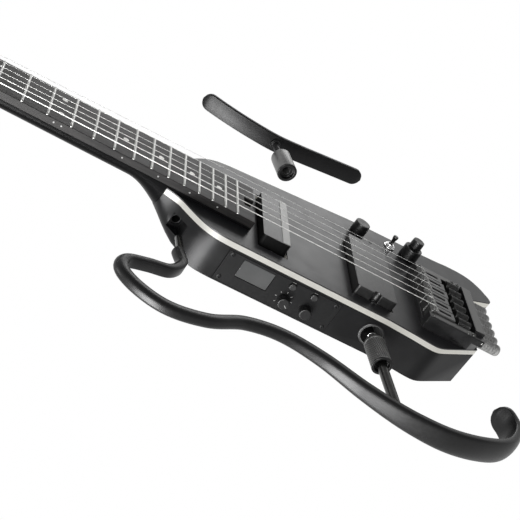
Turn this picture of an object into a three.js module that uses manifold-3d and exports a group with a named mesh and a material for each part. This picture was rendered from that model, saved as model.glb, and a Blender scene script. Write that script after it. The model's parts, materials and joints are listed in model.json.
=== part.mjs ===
// Headless travel guitar: a thin sandwich body with a set neck, an arm frame and a leg rest that
// pull out of sockets, a side control panel, and a bridge that holds the tuners.
// Millimetres. +X runs from the neck to the tail, +Y to the treble strings, +Z out of the face.
// The origin is on the flat back, under the middle of the saddle line.
import * as THREE from "three";
import { mergeVertices } from "three/addons/utils/BufferGeometryUtils.js";
import Module from "manifold-3d";

const wasm = await Module();
wasm.setup();

// Shared clearances and cutting overruns
const seatGap = 0.3;
const overrun = 2;
const weld = 0.001;

// Body sandwich: dark core, pale accent layer, thin dark cap
const bodyLength = 320;
const bodyWidth = 150;
const coreThickness = 31;
const accentThickness = 4.5;
const capThickness = 1;
const bassEdge = 53;
const bodyTop = coreThickness + accentThickness + capThickness;
const outlineFacets = 3;

// Body outline, as shares of the body length and width, from the neck joint round by the bass side
const noseShares = [-0.725, 0.164];
const bassShoulderShares = [
  [-0.687, -0.195], [-0.664, -0.238], [-0.642, -0.281], [-0.618, -0.318], [-0.587, -0.345],
];
const bassPanelStartShare = -0.55;
const bassPanelEndShare = -0.11;
const bassBoutShares = [[-0.04, -0.369], [0.01, -0.384], [0.037, -0.38], [0.062, -0.353]];
const bassTailShares = [0.168, -0.207];
const notchFloorShares = [0.178, 0.312];
const hornInnerShares = [0.285, 0.43];
const hornTipShares = [[0.2895, 0.4445], [0.2903, 0.47], [0.2856, 0.494]];
const trebleTailShares = [[0.268, 0.552], [0.2385, 0.604], [0.2, 0.6245], [0.152, 0.6215]];
const trebleEdgeShares = [[0.08, 0.6], [-0.14, 0.567], [-0.3125, 0.512]];
const trebleWaistShares = [-0.55, 0.439];
const trebleShoulderShares = [[-0.588, 0.419], [-0.622, 0.379], [-0.653, 0.317], [-0.681, 0.24]];

// Heel: the underside sweeps down from the neck to the flat back, and its corners get squarer
const heelRunOut = 30;
const heelRunIn = 26;
const noseLength = 39;
const heelStationShares = [0, 0.13, 0.27, 0.42, 0.58, 0.76, 1];
const heelPoints = 18;
const roundSquareness = 2.2;
const edgeSquareness = 16;
const squarenessGrowth = 1.6;

// Neck and fretboard
const scaleLength = 628;
const nutWidth = 42.6;
const boardEndWidth = 53.8;
const boardThickness = 6;
const neckRise = 2.5;
const neckTop = bodyTop + neckRise;
const boardTop = neckTop + boardThickness;
const boardOverhang = 0.4;
const nutDepth = 12.3;
const heelDepth = 13.5;
const neckStationShares = [0, 0.4];
const heelSweepShares = [0, 0.22, 0.4, 0.56, 0.7, 0.85, 1];
const neckPoints = 12;
const tenonHalfWidth = 16;
const tenonSetback = 5;
const tenonDepth = 15.5;
const fretCount = 22;
const fretsPerOctave = 12;
const boardTail = 15.2;
const fretHeight = 1;
const fretWidth = 2.3;
const fretInset = 0.3;
const fretSides = 4;
const nutLength = 4.2;
const nutRise = 1.4;

// Truss rod with its spoke wheel at the board's end
const trussRadius = 2.8;
const trussSetback = 28;
const trussWheelRadius = 4.5;
const trussWheelLength = 6;
const trussWheelSetback = 2.5;
const trussDepth = 4.2;
const trussSlotHalfWidth = 5.8;

// Headpiece that clamps the strings behind the nut
const headLength = 23;
const headMargin = 0.8;
const headHalfWidth = 20.4;
const headHeight = 10;
const clampBoreRadius = 1.5;
const clampBoreDepth = 13;
const clampScrewRadius = 2.6;
const clampScrewRise = 2.2;
const clampScrewSetback = 13;

// Strings, from the treble side to the bass side
const stringCount = 6;
const stringSpacing = 10.8;
const nutSpacing = 7;
const stringRadii = [0.14, 0.17, 0.22, 0.33, 0.46, 0.58];
const saddleStringRise = 16.2;
const stringSides = 6;
const intonation = [-1.3, 0, 1, -0.6, 0.2, 0.8];

// Pickups
const neckPickupGap = 8;
const neckPickupLength = 24.4;
const neckPickupWidth = 68;
const neckPickupRise = 7.5;
const bridgePickupX = -50.2;
const bridgePickupLength = 36.6;
const bridgePickupWidth = 79;
const bridgePickupRise = 8;
const pickupDepth = 8;
const pickupCorner = 2.5;
const pickupRoute = 0.8;
const pickupEar = 5.5;
const pickupEarDepth = 3.2;
const pickupBarWidth = 6.6;
const pickupBarInset = 0.9;
const pickupBarStep = 0.5;
const pickupNotchRadius = 3.4;

// Bridge
const bridgeFront = -3.8;
const bridgeRear = 49.6;
const bridgeHalfWidth = 40;
const bridgePlate = 4;
const bridgeRise = 12.6;
const bridgeRail = 7.6;
const bridgeChamfer = 0.9;
const bridgeLip = 7;
const bridgeEndBlock = 9.2;
const endBlockRise = 15.5;
const bridgeBayFloor = 0.8;
const saddleWidth = 10;
const saddleFront = -2.2;
const saddleLength = 22.8;
const saddleTailRise = 14.1;
const saddleLip = 2;
const saddleSlotWidth = 3;
const saddleSlotStart = 0.8;
const saddleTailWall = 3.6;
const saddleTunnelRise = 11.8;

// Tuners: a knob with a threaded shaft draws a carriage along the bridge
const tunerRise = 5;
const tunerKnobRadius = 4.8;
const tunerKnobLength = 21.2;
const tunerKnobGap = 1.2;
const tunerKnobRounding = 1.6;
const tunerRoundingShares = [0.5, 0.33];
const tunerCollarRadius = 3.4;
const tunerShaftRadius = 2;
const tunerTravel = 3.2;
const tunerFacets = 12;
const tunerRunClearance = 0.3;
const carriageRadius = 3.6;
const carriageLength = 12.4;
const carriageFrontX = 24;
const carriageRibs = 4;
const carriageRibShares = [0.33, 0.67];
const carriageFacets = 10;
const carriageRibDepth = 0.5;
const carriageBoreDepth = 5.6;
const carriageBoreRadius = 1.3;
const stringAnchorDepth = 3.6;

// Side control panel and what it carries
const panelStart = -173.4;
const panelEnd = -74.6;
const panelBottom = 1.6;
const panelTop = 28.8;
const panelThickness = 1.6;
const panelProud = 0.3;
const screenStart = -159.4;
const screenEnd = -132.8;
const screenBottom = 11;
const screenTop = 26.4;
const screenThickness = 1.2;
const screenInset = 0.4;
const controlColumns = [-117, -97.8];
const knobRow = 11.4;
const buttonRow = 25;
const panelKnobRadius = 4.8;
const panelKnobHeight = 7.2;
const panelKnobShaft = 2;
const panelKnobFacets = 16;
const shaftClearance = 0.4;
const buttonRadius = 2.7;
const buttonRise = 2.4;
const buttonFlange = 0.7;
const buttonFlangeThickness = 0.8;
const sideCavityDepth = 8.2;
const sideCavityInset = 6;
const boardSheet = 1.5;
const encoderSize = 9.6;
const encoderHeight = 2.6;
const switchSize = 6;
const switchHeight = 2.2;
const chipLength = 8.4;
const chipHeight = 1.6;

// Rear control bay with its cover
const bayStart = -61;
const bayEnd = 16;
const bayBass = 56;
const bayTreble = 75.6;
const bayCeiling = 28;
const batteryBayEnd = 40;
const batteryBayBass = 15;
const batteryBayCeiling = 15;
const coverLedge = 2.7;
const coverThickness = 2;
const batteryLength = 60;
const batteryWidth = 34;
const batteryHeight = 9;
const volumeAt = [-51.5, 66.6];
const toneAt = [1, 68];
const toggleAt = [-17.2, 71.6];
const potRadius = 7.6;
const potHeight = 8.6;
const potBushing = 4.2;
const potBushingRise = 2;
const potShaft = 3;
const potBoardEdge = 2;
const volumeKnobRadius = 7;
const volumeKnobHeight = 10.2;
const toneLowerRadius = 8.5;
const toneLowerHeight = 11;
const toneUpperRadius = 5.5;
const toneUpperHeight = 8;
const toneInnerShaft = 1.5;
const knobLift = 0.5;
const knobWall = 1.4;
const knobHollow = 3;
const knobFacets = 18;
const knobBevel = 0.7;
const toggleBody = [12, 6.6];
const toggleBushing = 3.2;
const toggleBore = 2.3;
const toggleBushingRise = 3.4;
const toggleWasher = 5.2;
const toggleWasherThickness = 1.1;
const leverBase = 1.2;
const leverTip = 2.5;
const leverRise = 12;
const leverPivotRise = 2.2;
const leverBall = 1.7;
const leverBallShares = [0.8, 0.6];

// Output jack in the treble edge
const jackX = 26;
const jackHeight = 15;
const jackRadius = 5.4;
const jackBore = 3.3;
const jackLength = 26;
const jackFlange = 9;
const jackFlangeThickness = 1.6;
const jackEndWall = 2;

// Sockets and thumb nuts shared by the arm frame and the leg rest
const socketWall = 1;
const socketClearance = 0.4;
const socketRunShare = 1.5;
const socketDepth = 22;
const socketFloor = 1.5;
const socketProud = 0.8;
const postRadius = 3.2;
const postProud = 1.5;
const postBore = 1.9;
const postBoreDepth = 9;
const armNut = { radius: 8.2, nose: 5.4, mouth: 6.2 };
const legNut = { radius: 9.2, nose: 6, mouth: 6.8 };
const thumbLength = 32;
const thumbTaper = 5;
const thumbMouthDepth = 4;
const thumbFacets = 20;
const frameHeight = 17.5;
const bodyFacets = 16;

// Arm frame: its flat face follows this path, as shares of its length and reach
const armLengthShare = 1.0625;
const armReach = 145;
const armTiltDegrees = 7;
const armSocketX = -40.5;
const armStandoff = 5.6;
const armPathShares = [
  [-0.613, -0.478], [-0.6, -0.595], [-0.628, -0.707], [-0.682, -0.752], [-0.724, -0.8],
  [-0.73, -0.855], [-0.705, -0.925], [-0.64, -0.983], [-0.552, -0.938], [-0.462, -0.81],
  [-0.37, -0.76], [-0.27, -0.79], [-0.162, -0.878], [-0.044, -0.957], [0.044, -0.972],
  [0.132, -0.92], [0.206, -0.817], [0.242, -0.669], [0.239, -0.585], [0.218, -0.51],
];
const armBarThickness = 8.6;
const armBarHeight = 9;
const armHookHeight = 20;
const armWidenShares = [0.6, 0.84];
const barFlatShare = 0.46;
const barEndShare = 0.25;
const armStations = 52;
const barArcPoints = 5;
const armPinRadius = 2.8;
const armPinReach = 19;
const armPinRoot = 4.7;
const armPinTravelGap = 24.6;
const heelPocket = [10.6, 13.4];
const heelSleeveRadius = 4.2;
const heelSleeveLength = 16;
const heelSleeveFloor = 2;
const heelPocketReach = 20;
const armRodRadius = 4;
const armRodInsert = 3.2;

// Leg rest, drawn from its tail end to its neck end, as shares of its length from the stem
const legLength = 184;
const legTiltDegrees = 12;
const legSocketX = -87;
const legReach = 81;
const legBarGap = 51;
const legPathShares = [
  [0.55, 0.128], [0.46, 0.106], [0.31, 0.068], [0.145, 0.026], [0, 0], [-0.16, 0.012],
  [-0.3, 0.042], [-0.43, 0.086],
];
const legBarThickness = 8.6;
const legBarHeight = 16.5;
const legStations = 20;
const legStemRadius = 3.2;
const legStemInsert = 4;
const legCollarRadius = 5.2;
const legCollarLength = 2;

// Materials
const paint = (color, roughness, metalness) =>
  new THREE.MeshStandardMaterial({ color, roughness, metalness });
const satinBlack = paint(0x2b2b2b, 0.5, 0);
const accentWhite = paint(0xe6e4dc, 0.45, 0);
const darkWood = paint(0x1d1a18, 0.6, 0);
const blackMetal = paint(0x242424, 0.4, 0.6);
const gunMetal = paint(0x6b6b68, 0.45, 0.8);
const brightSteel = paint(0xc4c4c4, 0.25, 1);
const moulded = paint(0x1c1c1c, 0.55, 0);
const screenGrey = paint(0x6b6b6b, 0.3, 0);
const circuitGreen = paint(0x1f4a33, 0.6, 0);
const batteryBlue = paint(0x3f5670, 0.6, 0);

const guitar = new THREE.Group();

// A closed geometry as a solid that can be joined and cut
function solidOf(geometry) {
  const bare = new THREE.BufferGeometry();
  const source = geometry.index ? geometry.toNonIndexed() : geometry;
  bare.setAttribute("position", source.getAttribute("position").clone());
  const merged = mergeVertices(bare, weld);
  return new wasm.Manifold(
    new wasm.Mesh({
      numProp: 3,
      vertProperties: merged.attributes.position.array,
      triVerts: new Uint32Array(merged.index.array),
    }),
  );
}

// A solid back as a named mesh of the group
function addPiece(name, solid, material, parent = guitar) {
  const { vertProperties, triVerts } = solid.getMesh();
  const geometry = new THREE.BufferGeometry();
  geometry.setAttribute("position", new THREE.BufferAttribute(new Float32Array(vertProperties), 3));
  geometry.setIndex(new THREE.BufferAttribute(new Uint32Array(triVerts), 1));
  geometry.computeVertexNormals();
  const mesh = new THREE.Mesh(geometry, material);
  mesh.name = name;
  parent.add(mesh);
  return mesh;
}

const joined = (first, ...others) => others.reduce((all, one) => all.add(one), first);
const cut = (first, ...others) => others.reduce((all, one) => all.subtract(one), first);

function block(x0, x1, y0, y1, z0, z1) {
  const geometry = new THREE.BoxGeometry(x1 - x0, y1 - y0, z1 - z0);
  geometry.translate((x0 + x1) / 2, (y0 + y1) / 2, (z0 + z1) / 2);
  return solidOf(geometry);
}

function plate(shape, z0, z1, facets = outlineFacets) {
  const geometry = new THREE.ExtrudeGeometry(shape, {
    depth: z1 - z0, bevelEnabled: false, curveSegments: facets,
  });
  geometry.translate(0, 0, z0);
  return solidOf(geometry);
}

// A revolved profile of [radius, distance] points, carried from a start point along a direction
function turned(profile, start, direction, facets = bodyFacets) {
  const points = profile.map(([radius, distance]) => new THREE.Vector2(radius, distance));
  const geometry = new THREE.LatheGeometry(points, facets);
  const turn = new THREE.Quaternion().setFromUnitVectors(
    new THREE.Vector3(0, 1, 0), direction.clone().normalize(),
  );
  geometry.applyQuaternion(turn);
  geometry.translate(start.x, start.y, start.z);
  return solidOf(geometry);
}

const rod = (radius, length, start, direction, facets) =>
  turned([[0, 0], [radius, 0], [radius, length], [0, length]], start, direction, facets);

// A closed body through rings of equally many points, in order along its length
function loft(rings) {
  const count = rings[0].length;
  const positions = rings.flat().flatMap((p) => [p.x, p.y, p.z]);
  const index = [];
  for (let ring = 0; ring + 1 < rings.length; ring += 1) {
    for (let i = 0; i < count; i += 1) {
      const next = (i + 1) % count;
      const a = ring * count + i;
      const b = ring * count + next;
      index.push(a, b, b + count, a, b + count, a + count);
    }
  }
  const last = (rings.length - 1) * count;
  for (let i = 1; i + 1 < count; i += 1) {
    index.push(0, i + 1, i);
    index.push(last, last + i, last + i + 1);
  }
  const geometry = new THREE.BufferGeometry();
  geometry.setAttribute("position", new THREE.Float32BufferAttribute(positions, 3));
  geometry.setIndex(index);
  const solid = solidOf(geometry);
  return solid.volume() < 0 ? solidOf(flipped(geometry)) : solid;
}

function flipped(geometry) {
  const index = geometry.index.array;
  for (let i = 0; i < index.length; i += 3) {
    [index[i], index[i + 1]] = [index[i + 1], index[i]];
  }
  return geometry;
}

const at = (x, y, z) => new THREE.Vector3(x, y, z);
const up = at(0, 0, 1);
const towardsTail = at(1, 0, 0);
const towardsTreble = at(0, 1, 0);
const share = ([u, v]) => new THREE.Vector2(u * bodyLength, v * bodyWidth);

// Body outline
function bodyOutline() {
  const shape = new THREE.Shape();
  const nose = share(noseShares);
  const waist = share(trebleWaistShares);
  const tail = trebleTailShares.map(share);
  shape.moveTo(nose.x, -nose.y);
  shape.splineThru([
    ...bassShoulderShares.map(share),
    new THREE.Vector2(bassPanelStartShare * bodyLength, -bassEdge),
  ]);
  shape.lineTo(bassPanelEndShare * bodyLength, -bassEdge);
  shape.splineThru(bassBoutShares.map(share));
  shape.lineTo(...share(bassTailShares));
  shape.lineTo(...share(notchFloorShares));
  shape.lineTo(...share(hornInnerShares));
  shape.splineThru(hornTipShares.map(share));
  shape.lineTo(...tail[0]);
  shape.splineThru(tail.slice(1));
  shape.splineThru([...trebleEdgeShares.map(share), waist]);
  shape.splineThru([...trebleShoulderShares.map(share), nose]);
  shape.closePath();
  return shape;
}

const outline = bodyOutline();
const outlinePoints = outline.getPoints(outlineFacets);
const noseX = share(noseShares).x;

// How far the outline reaches at a station, on the side with the given sign
function edgeAt(x, side) {
  let reach = 0;
  outlinePoints.forEach((p, i) => {
    const q = outlinePoints[(i + 1) % outlinePoints.length];
    if (p.x !== q.x && (p.x - x) * (q.x - x) <= 0) {
      const y = p.y + ((q.y - p.y) * (x - p.x)) / (q.x - p.x);
      reach = Math.max(reach, y * side);
    }
  });
  return reach;
}

// Half a superellipse hung under a flat top, from the bass side to the treble side
function hungSection(x, bassHalf, trebleHalf, top, depth, squareness, points) {
  const power = 2 / squareness;
  return Array.from({ length: points + 1 }, (_, i) => {
    const angle = (Math.PI * i) / points;
    const across = Math.abs(Math.cos(angle)) ** power;
    const down = Math.sin(angle) ** power;
    const half = angle < Math.PI / 2 ? -bassHalf : trebleHalf;
    return at(x, half * across, top - depth * down);
  });
}

// Height of the underside over the flat back, from the neck down through the heel
const neckUnderside = neckTop - heelDepth;
const undersideAt = (x) =>
  neckUnderside * (1 - THREE.MathUtils.smoothstep(x, noseX - heelRunOut, noseX + heelRunIn));

// Body core with its rounded heel
function coreBlank() {
  const rear = noseX + noseLength;
  const rings = heelStationShares.map((s) => {
    const x = noseX + s * noseLength;
    const squareness = roundSquareness + (edgeSquareness - roundSquareness) * s ** squarenessGrowth;
    return hungSection(
      x, edgeAt(x, -1), edgeAt(x, 1), coreThickness, coreThickness - undersideAt(x), squareness,
      heelPoints,
    );
  });
  const main = plate(outline, 0, coreThickness).subtract(
    block(noseX - overrun, rear - weld, -bodyWidth, bodyWidth, -overrun, coreThickness + overrun),
  );
  return joined(loft(rings), main);
}

const armTilt = THREE.MathUtils.degToRad(armTiltDegrees);
const legTilt = THREE.MathUtils.degToRad(legTiltDegrees);
const armOut = at(Math.sin(armTilt), -Math.cos(armTilt), 0);
const legOut = at(-Math.sin(legTilt), Math.cos(legTilt), 0);
const armMouth = at(armSocketX, -bassEdge, frameHeight);
const legMouth = at(legSocketX, edgeAt(legSocketX, 1), frameHeight);
const along = (start, direction, distance) => start.clone().addScaledVector(direction, distance);

const armIn = armOut.clone().negate();
const armLength = bodyLength * armLengthShare;
const armPath = armPathShares.map(([u, v]) => at(u * armLength, v * armReach, frameHeight));
const pinStart = along(armPath[0], armIn, armPinReach);
const heelFloor = along(pinStart, armIn, armPinTravelGap);
const legIn = legOut.clone().negate();

// Strings: place of each one across the bridge and across the nut, from treble to bass
const middleString = (stringCount - 1) / 2;
const stringAt = Array.from({ length: stringCount }, (_, i) => (middleString - i) * stringSpacing);
const nutStringAt = Array.from({ length: stringCount }, (_, i) => (middleString - i) * nutSpacing);
const nutStringHeight = boardTop + nutRise;
const saddleStringHeight = bodyTop + saddleStringRise;
const tunerHeight = bodyTop + tunerRise;
const nutFace = -scaleLength - nutLength;
const headFace = nutFace - seatGap;
const headRear = headFace - headLength;

// Frets, and what lines up with the end of the board
const fretX = (n) => -scaleLength * 2 ** (-n / fretsPerOctave);
const boardEnd = fretX(fretCount) + boardTail;
const tenonEnd = boardEnd - tenonSetback;
const trussWheelEnd = boardEnd - trussWheelSetback;
const trussStart = trussSetback - scaleLength;
const neckPickupX = boardEnd + neckPickupGap + neckPickupLength / 2;

// Cavities cut down from the face
const neckCavity = [neckPickupX, neckPickupLength, neckPickupWidth + 2 * pickupEar];
const bridgeCavity = [bridgePickupX, bridgePickupLength, bridgePickupWidth];
const pickupFloor = bodyTop - pickupDepth;

function faceCut([x, length, width], floor) {
  const halfLength = length / 2 + pickupRoute;
  const halfWidth = width / 2 + pickupRoute;
  const top = bodyTop + overrun;
  return block(x - halfLength, x + halfLength, -halfWidth, halfWidth, floor, top);
}

// Well for the truss rod's wheel, between the tenon and the end of the board
function wheelWell() {
  const half = trussSlotHalfWidth;
  const floor = neckTop - trussDepth - trussWheelRadius - seatGap;
  return block(tenonEnd - overrun, boardEnd, -half, half, floor, bodyTop + overrun);
}

function tenonCut() {
  const half = tenonHalfWidth + seatGap;
  const top = bodyTop + overrun;
  return block(noseX - overrun, tenonEnd + seatGap, -half, half, neckTop - tenonDepth - seatGap, top);
}

// Holes down through the face for the two pots and the toggle
function controlHoles() {
  const height = bodyTop - bayCeiling + 2 * overrun;
  const hole = (radius, [x, y]) => rod(radius, height, at(x, y, bayCeiling - overrun), up);
  return [
    hole(potBushing + seatGap, volumeAt),
    hole(potBushing + seatGap, toneAt),
    hole(toggleBushing + seatGap, toggleAt),
  ];
}

const faceCuts = [
  faceCut(neckCavity, pickupFloor),
  faceCut(bridgeCavity, pickupFloor),
  tenonCut(),
  wheelWell(),
  ...controlHoles(),
];

// Rear cover and the bays under it
const coverStart = bayStart - coverLedge - seatGap;
const coverEnd = batteryBayEnd + coverLedge + seatGap;
const coverBass = batteryBayBass - coverLedge - seatGap;
const coverTreble = bayTreble + coverLedge;

function rearCuts() {
  const rebate = block(
    coverStart - seatGap, coverEnd + seatGap, coverBass - seatGap, coverTreble + seatGap,
    -overrun, coverThickness,
  );
  const controlBay = block(bayStart, bayEnd, bayBass - overrun, bayTreble, 0, bayCeiling);
  const batteryBay = block(bayStart, batteryBayEnd, batteryBayBass, bayBass, 0, batteryBayCeiling);
  return [rebate, controlBay, batteryBay];
}

// Side panel rebate with the circuit board's cavity behind it
const panelFace = -bassEdge - panelProud;
const panelBack = panelFace + panelThickness;
const cavityFloor = panelBack + sideCavityDepth;

function sideCuts() {
  const outside = -bassEdge - overrun;
  return [
    block(
      panelStart - seatGap, panelEnd + seatGap, outside, panelBack,
      panelBottom - seatGap, panelTop + seatGap,
    ),
    block(
      panelStart + sideCavityInset, panelEnd - sideCavityInset, outside, cavityFloor,
      panelBottom + sideCavityInset / 2, panelTop - sideCavityInset / 2,
    ),
    ...controlColumns.map((x) =>
      rod(
        buttonRadius + buttonFlange + seatGap, sideCavityDepth,
        at(x, panelBack - overrun, buttonRow), towardsTreble, panelKnobFacets,
      ),
    ),
  ];
}

const socketRadius = (nut) => nut.radius + socketClearance + socketWall;

function socketCut(mouth, inwards, nut) {
  const run = socketDepth * socketRunShare;
  const start = along(mouth, inwards, socketDepth - run);
  return rod(socketRadius(nut) + seatGap, run + socketFloor + seatGap, start, inwards);
}

function heelCuts() {
  const [width, height] = heelPocket;
  const pocket = new THREE.BoxGeometry(width, heelPocketReach, height);
  pocket.translate(0, -heelPocketReach / 2, 0);
  pocket.rotateZ(armTilt);
  pocket.translate(heelFloor.x, heelFloor.y, heelFloor.z);
  const bore = rod(
    heelSleeveRadius + seatGap, heelSleeveLength + 2 * seatGap + overrun,
    along(heelFloor, armOut, overrun), armIn,
  );
  return [solidOf(pocket), bore];
}

const jackEdge = edgeAt(jackX, 1);
const jackOuter = jackEdge + jackFlangeThickness;

function jackCut() {
  const start = at(jackX, jackEdge - jackLength, jackHeight);
  const pocketStart = at(jackX, jackEdge - seatGap, jackHeight);
  return [
    rod(jackRadius + seatGap, jackLength + overrun, start, towardsTreble),
    rod(jackFlange + seatGap, 2 * overrun, pocketStart, towardsTreble),
  ];
}

addPiece(
  "body_core",
  cut(
    coreBlank(), ...faceCuts, ...rearCuts(), ...sideCuts(), ...heelCuts(), ...jackCut(),
    socketCut(armMouth, armIn, armNut), socketCut(legMouth, legIn, legNut),
  ),
  satinBlack,
);
const accentTop = coreThickness + accentThickness;
addPiece("accent_layer", cut(plate(outline, coreThickness, accentTop), ...faceCuts), accentWhite);
addPiece("top_cap", cut(plate(outline, accentTop, bodyTop), ...faceCuts), satinBlack);
addPiece(
  "rear_cover",
  block(coverStart, coverEnd, coverBass, coverTreble, 0, coverThickness - seatGap),
  moulded,
);

// Neck with its heel, tenon and truss rod channel
const boardSlope = (boardEndWidth - nutWidth) / (boardEnd + scaleLength) / 2;
const boardHalf = (x) => nutWidth / 2 + Math.max(0, x + scaleLength) * boardSlope;

function neckRing(x, depth) {
  const half = boardHalf(x) - boardOverhang;
  return hungSection(x, half, half, neckTop, depth, roundSquareness, neckPoints);
}

function neckSolid() {
  const sweepStart = noseX - heelRunOut;
  const shaft = neckStationShares.map((s) =>
    neckRing(-scaleLength + s * (sweepStart + scaleLength), nutDepth + s * (heelDepth - nutDepth)),
  );
  const sweep = heelSweepShares.map((s) => {
    const x = sweepStart + s * (heelRunOut - seatGap);
    return neckRing(x, neckTop - undersideAt(x));
  });
  const rings = [neckRing(headRear - headMargin, nutDepth), ...shaft, ...sweep];
  const tenon = block(
    noseX - overrun, tenonEnd, -tenonHalfWidth, tenonHalfWidth, neckTop - tenonDepth, neckTop,
  );
  const tongueShape = new THREE.Shape();
  const startHalf = boardHalf(noseX) - boardOverhang;
  const endHalf = boardHalf(boardEnd) - boardOverhang;
  tongueShape.moveTo(noseX - overrun, -startHalf);
  tongueShape.lineTo(boardEnd, -endHalf);
  tongueShape.lineTo(boardEnd, endHalf);
  tongueShape.lineTo(noseX - overrun, startHalf);
  const tongue = plate(tongueShape, bodyTop + seatGap, neckTop);
  const channelHalf = trussRadius + seatGap;
  const channelFloor = neckTop - trussDepth - channelHalf;
  const channel = block(
    trussStart - seatGap, boardEnd + overrun, -channelHalf, channelHalf,
    channelFloor, neckTop + overrun,
  );
  const wheelHalf = trussWheelRadius + seatGap;
  const wheelSlot = block(
    trussWheelEnd - trussWheelLength - seatGap, boardEnd + overrun, -wheelHalf, wheelHalf,
    neckTop - trussDepth - wheelHalf, neckTop + overrun,
  );
  return cut(joined(loft(rings), tenon, tongue), channel, wheelSlot);
}
addPiece("neck", neckSolid(), satinBlack);

function trussSolid() {
  const start = at(trussStart, 0, neckTop - trussDepth);
  const wheelStart = at(trussWheelEnd - trussWheelLength, 0, neckTop - trussDepth);
  const length = trussWheelEnd - trussStart - trussWheelLength;
  return joined(
    rod(trussRadius, length + seatGap, start, towardsTail, fretSides),
    rod(trussWheelRadius, trussWheelLength, wheelStart, towardsTail, tunerFacets),
  );
}
addPiece("truss_rod", trussSolid(), blackMetal);

// Fretboard with its frets pressed in
function fretSolid(n) {
  const half = boardHalf(fretX(n)) - fretInset;
  const crown = new THREE.Shape();
  crown.moveTo(-fretWidth / 2, -fretHeight);
  crown.absellipse(0, 0, fretWidth / 2, fretHeight, Math.PI, 0, true);
  crown.lineTo(fretWidth / 2, -fretHeight);
  const geometry = new THREE.ExtrudeGeometry(crown, {
    depth: 2 * half, bevelEnabled: false, curveSegments: fretSides,
  });
  geometry.rotateX(Math.PI / 2);
  geometry.translate(fretX(n), half, boardTop);
  return solidOf(geometry);
}

function boardSolid() {
  const shape = new THREE.Shape();
  const start = -scaleLength + seatGap;
  shape.moveTo(start, -boardHalf(start));
  shape.lineTo(boardEnd, -boardHalf(boardEnd));
  shape.lineTo(boardEnd, boardHalf(boardEnd));
  shape.lineTo(start, boardHalf(start));
  const board = plate(shape, neckTop, boardTop);
  const slot = block(
    trussWheelEnd - trussWheelLength - seatGap, boardEnd + overrun,
    -trussSlotHalfWidth, trussSlotHalfWidth, neckTop - overrun, boardTop + overrun,
  );
  const frets = Array.from({ length: fretCount }, (_, i) => fretSolid(i + 1));
  return cut(joined(board, ...frets), slot);
}
addPiece("fretboard", boardSolid(), darkWood);

// Nut and headpiece
function nutSolid() {
  const top = nutStringHeight + seatGap;
  const bar = block(nutFace, -scaleLength, -nutWidth / 2, nutWidth / 2, neckTop, top);
  const slots = nutStringAt.map((y, i) => {
    const half = stringRadii[i] + seatGap;
    return block(
      nutFace - overrun, -scaleLength + overrun, y - half, y + half,
      nutStringHeight - half, top + overrun,
    );
  });
  return cut(bar, ...slots);
}
addPiece("nut", nutSolid(), moulded);

function headSolid() {
  const top = neckTop + headHeight;
  const bar = block(headRear, headFace, -headHalfWidth, headHalfWidth, neckTop, top);
  const bores = nutStringAt.map((y) =>
    rod(
      clampBoreRadius, clampBoreDepth + overrun, at(headFace - clampBoreDepth, y, nutStringHeight),
      towardsTail, stringSides,
    ),
  );
  const screws = nutStringAt.map((y) =>
    rod(
      clampScrewRadius, clampScrewRise + seatGap, at(headFace - clampScrewSetback, y, top - seatGap),
      up, tunerFacets,
    ),
  );
  return cut(joined(bar, ...screws), ...bores);
}
addPiece("headpiece", headSolid(), blackMetal);

// Pickups
function roundedPlate(length, width, corner) {
  const shape = new THREE.Shape();
  const [x, y] = [length / 2, width / 2];
  shape.moveTo(-x + corner, -y);
  shape.lineTo(x - corner, -y);
  shape.absarc(x - corner, -y + corner, corner, -Math.PI / 2, 0, false);
  shape.lineTo(x, y - corner);
  shape.absarc(x - corner, y - corner, corner, 0, Math.PI / 2, false);
  shape.lineTo(-x + corner, y);
  shape.absarc(-x + corner, y - corner, corner, Math.PI / 2, Math.PI, false);
  shape.lineTo(-x, -y + corner);
  shape.absarc(-x + corner, -y + corner, corner, Math.PI, 1.5 * Math.PI, false);
  return shape;
}

function neckPickupSolid() {
  const top = neckPickupRise;
  const shell = plate(roundedPlate(neckPickupLength, neckPickupWidth, pickupCorner), -pickupDepth, top);
  const earHalf = neckPickupWidth / 2 + pickupEar;
  const ears = block(
    -neckPickupLength / 2, neckPickupLength / 2, -earHalf, earHalf,
    -pickupDepth, -pickupEarDepth,
  );
  const barEnd = neckPickupLength / 2 - pickupBarInset;
  const barHalf = neckPickupWidth / 2 - pickupBarInset;
  const bar = block(
    barEnd - pickupBarWidth, barEnd, -barHalf, barHalf, top - pickupBarStep, top + pickupBarStep,
  );
  return joined(shell, ears, bar);
}
addPiece("neck_pickup", neckPickupSolid(), moulded).position.set(neckPickupX, 0, bodyTop);

function bridgePickupSolid() {
  const shell = plate(
    roundedPlate(bridgePickupLength, bridgePickupWidth, pickupCorner), -pickupDepth, bridgePickupRise,
  );
  const notches = [-1, 1].map((side) =>
    rod(
      pickupNotchRadius, bridgePickupRise + overrun,
      at(0, (side * bridgePickupWidth) / 2, 0), up,
    ),
  );
  return cut(shell, ...notches);
}
addPiece("bridge_pickup", bridgePickupSolid(), moulded).position.set(bridgePickupX, 0, bodyTop);

// Bridge: plate, side rails and the taller end block that the tuners pull against
const endBlockFace = bridgeRear - bridgeEndBlock;
const bridgeInner = bridgeHalfWidth - bridgeRail;
const saddleRear = saddleFront + saddleLength + Math.max(...intonation) + seatGap;

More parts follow.
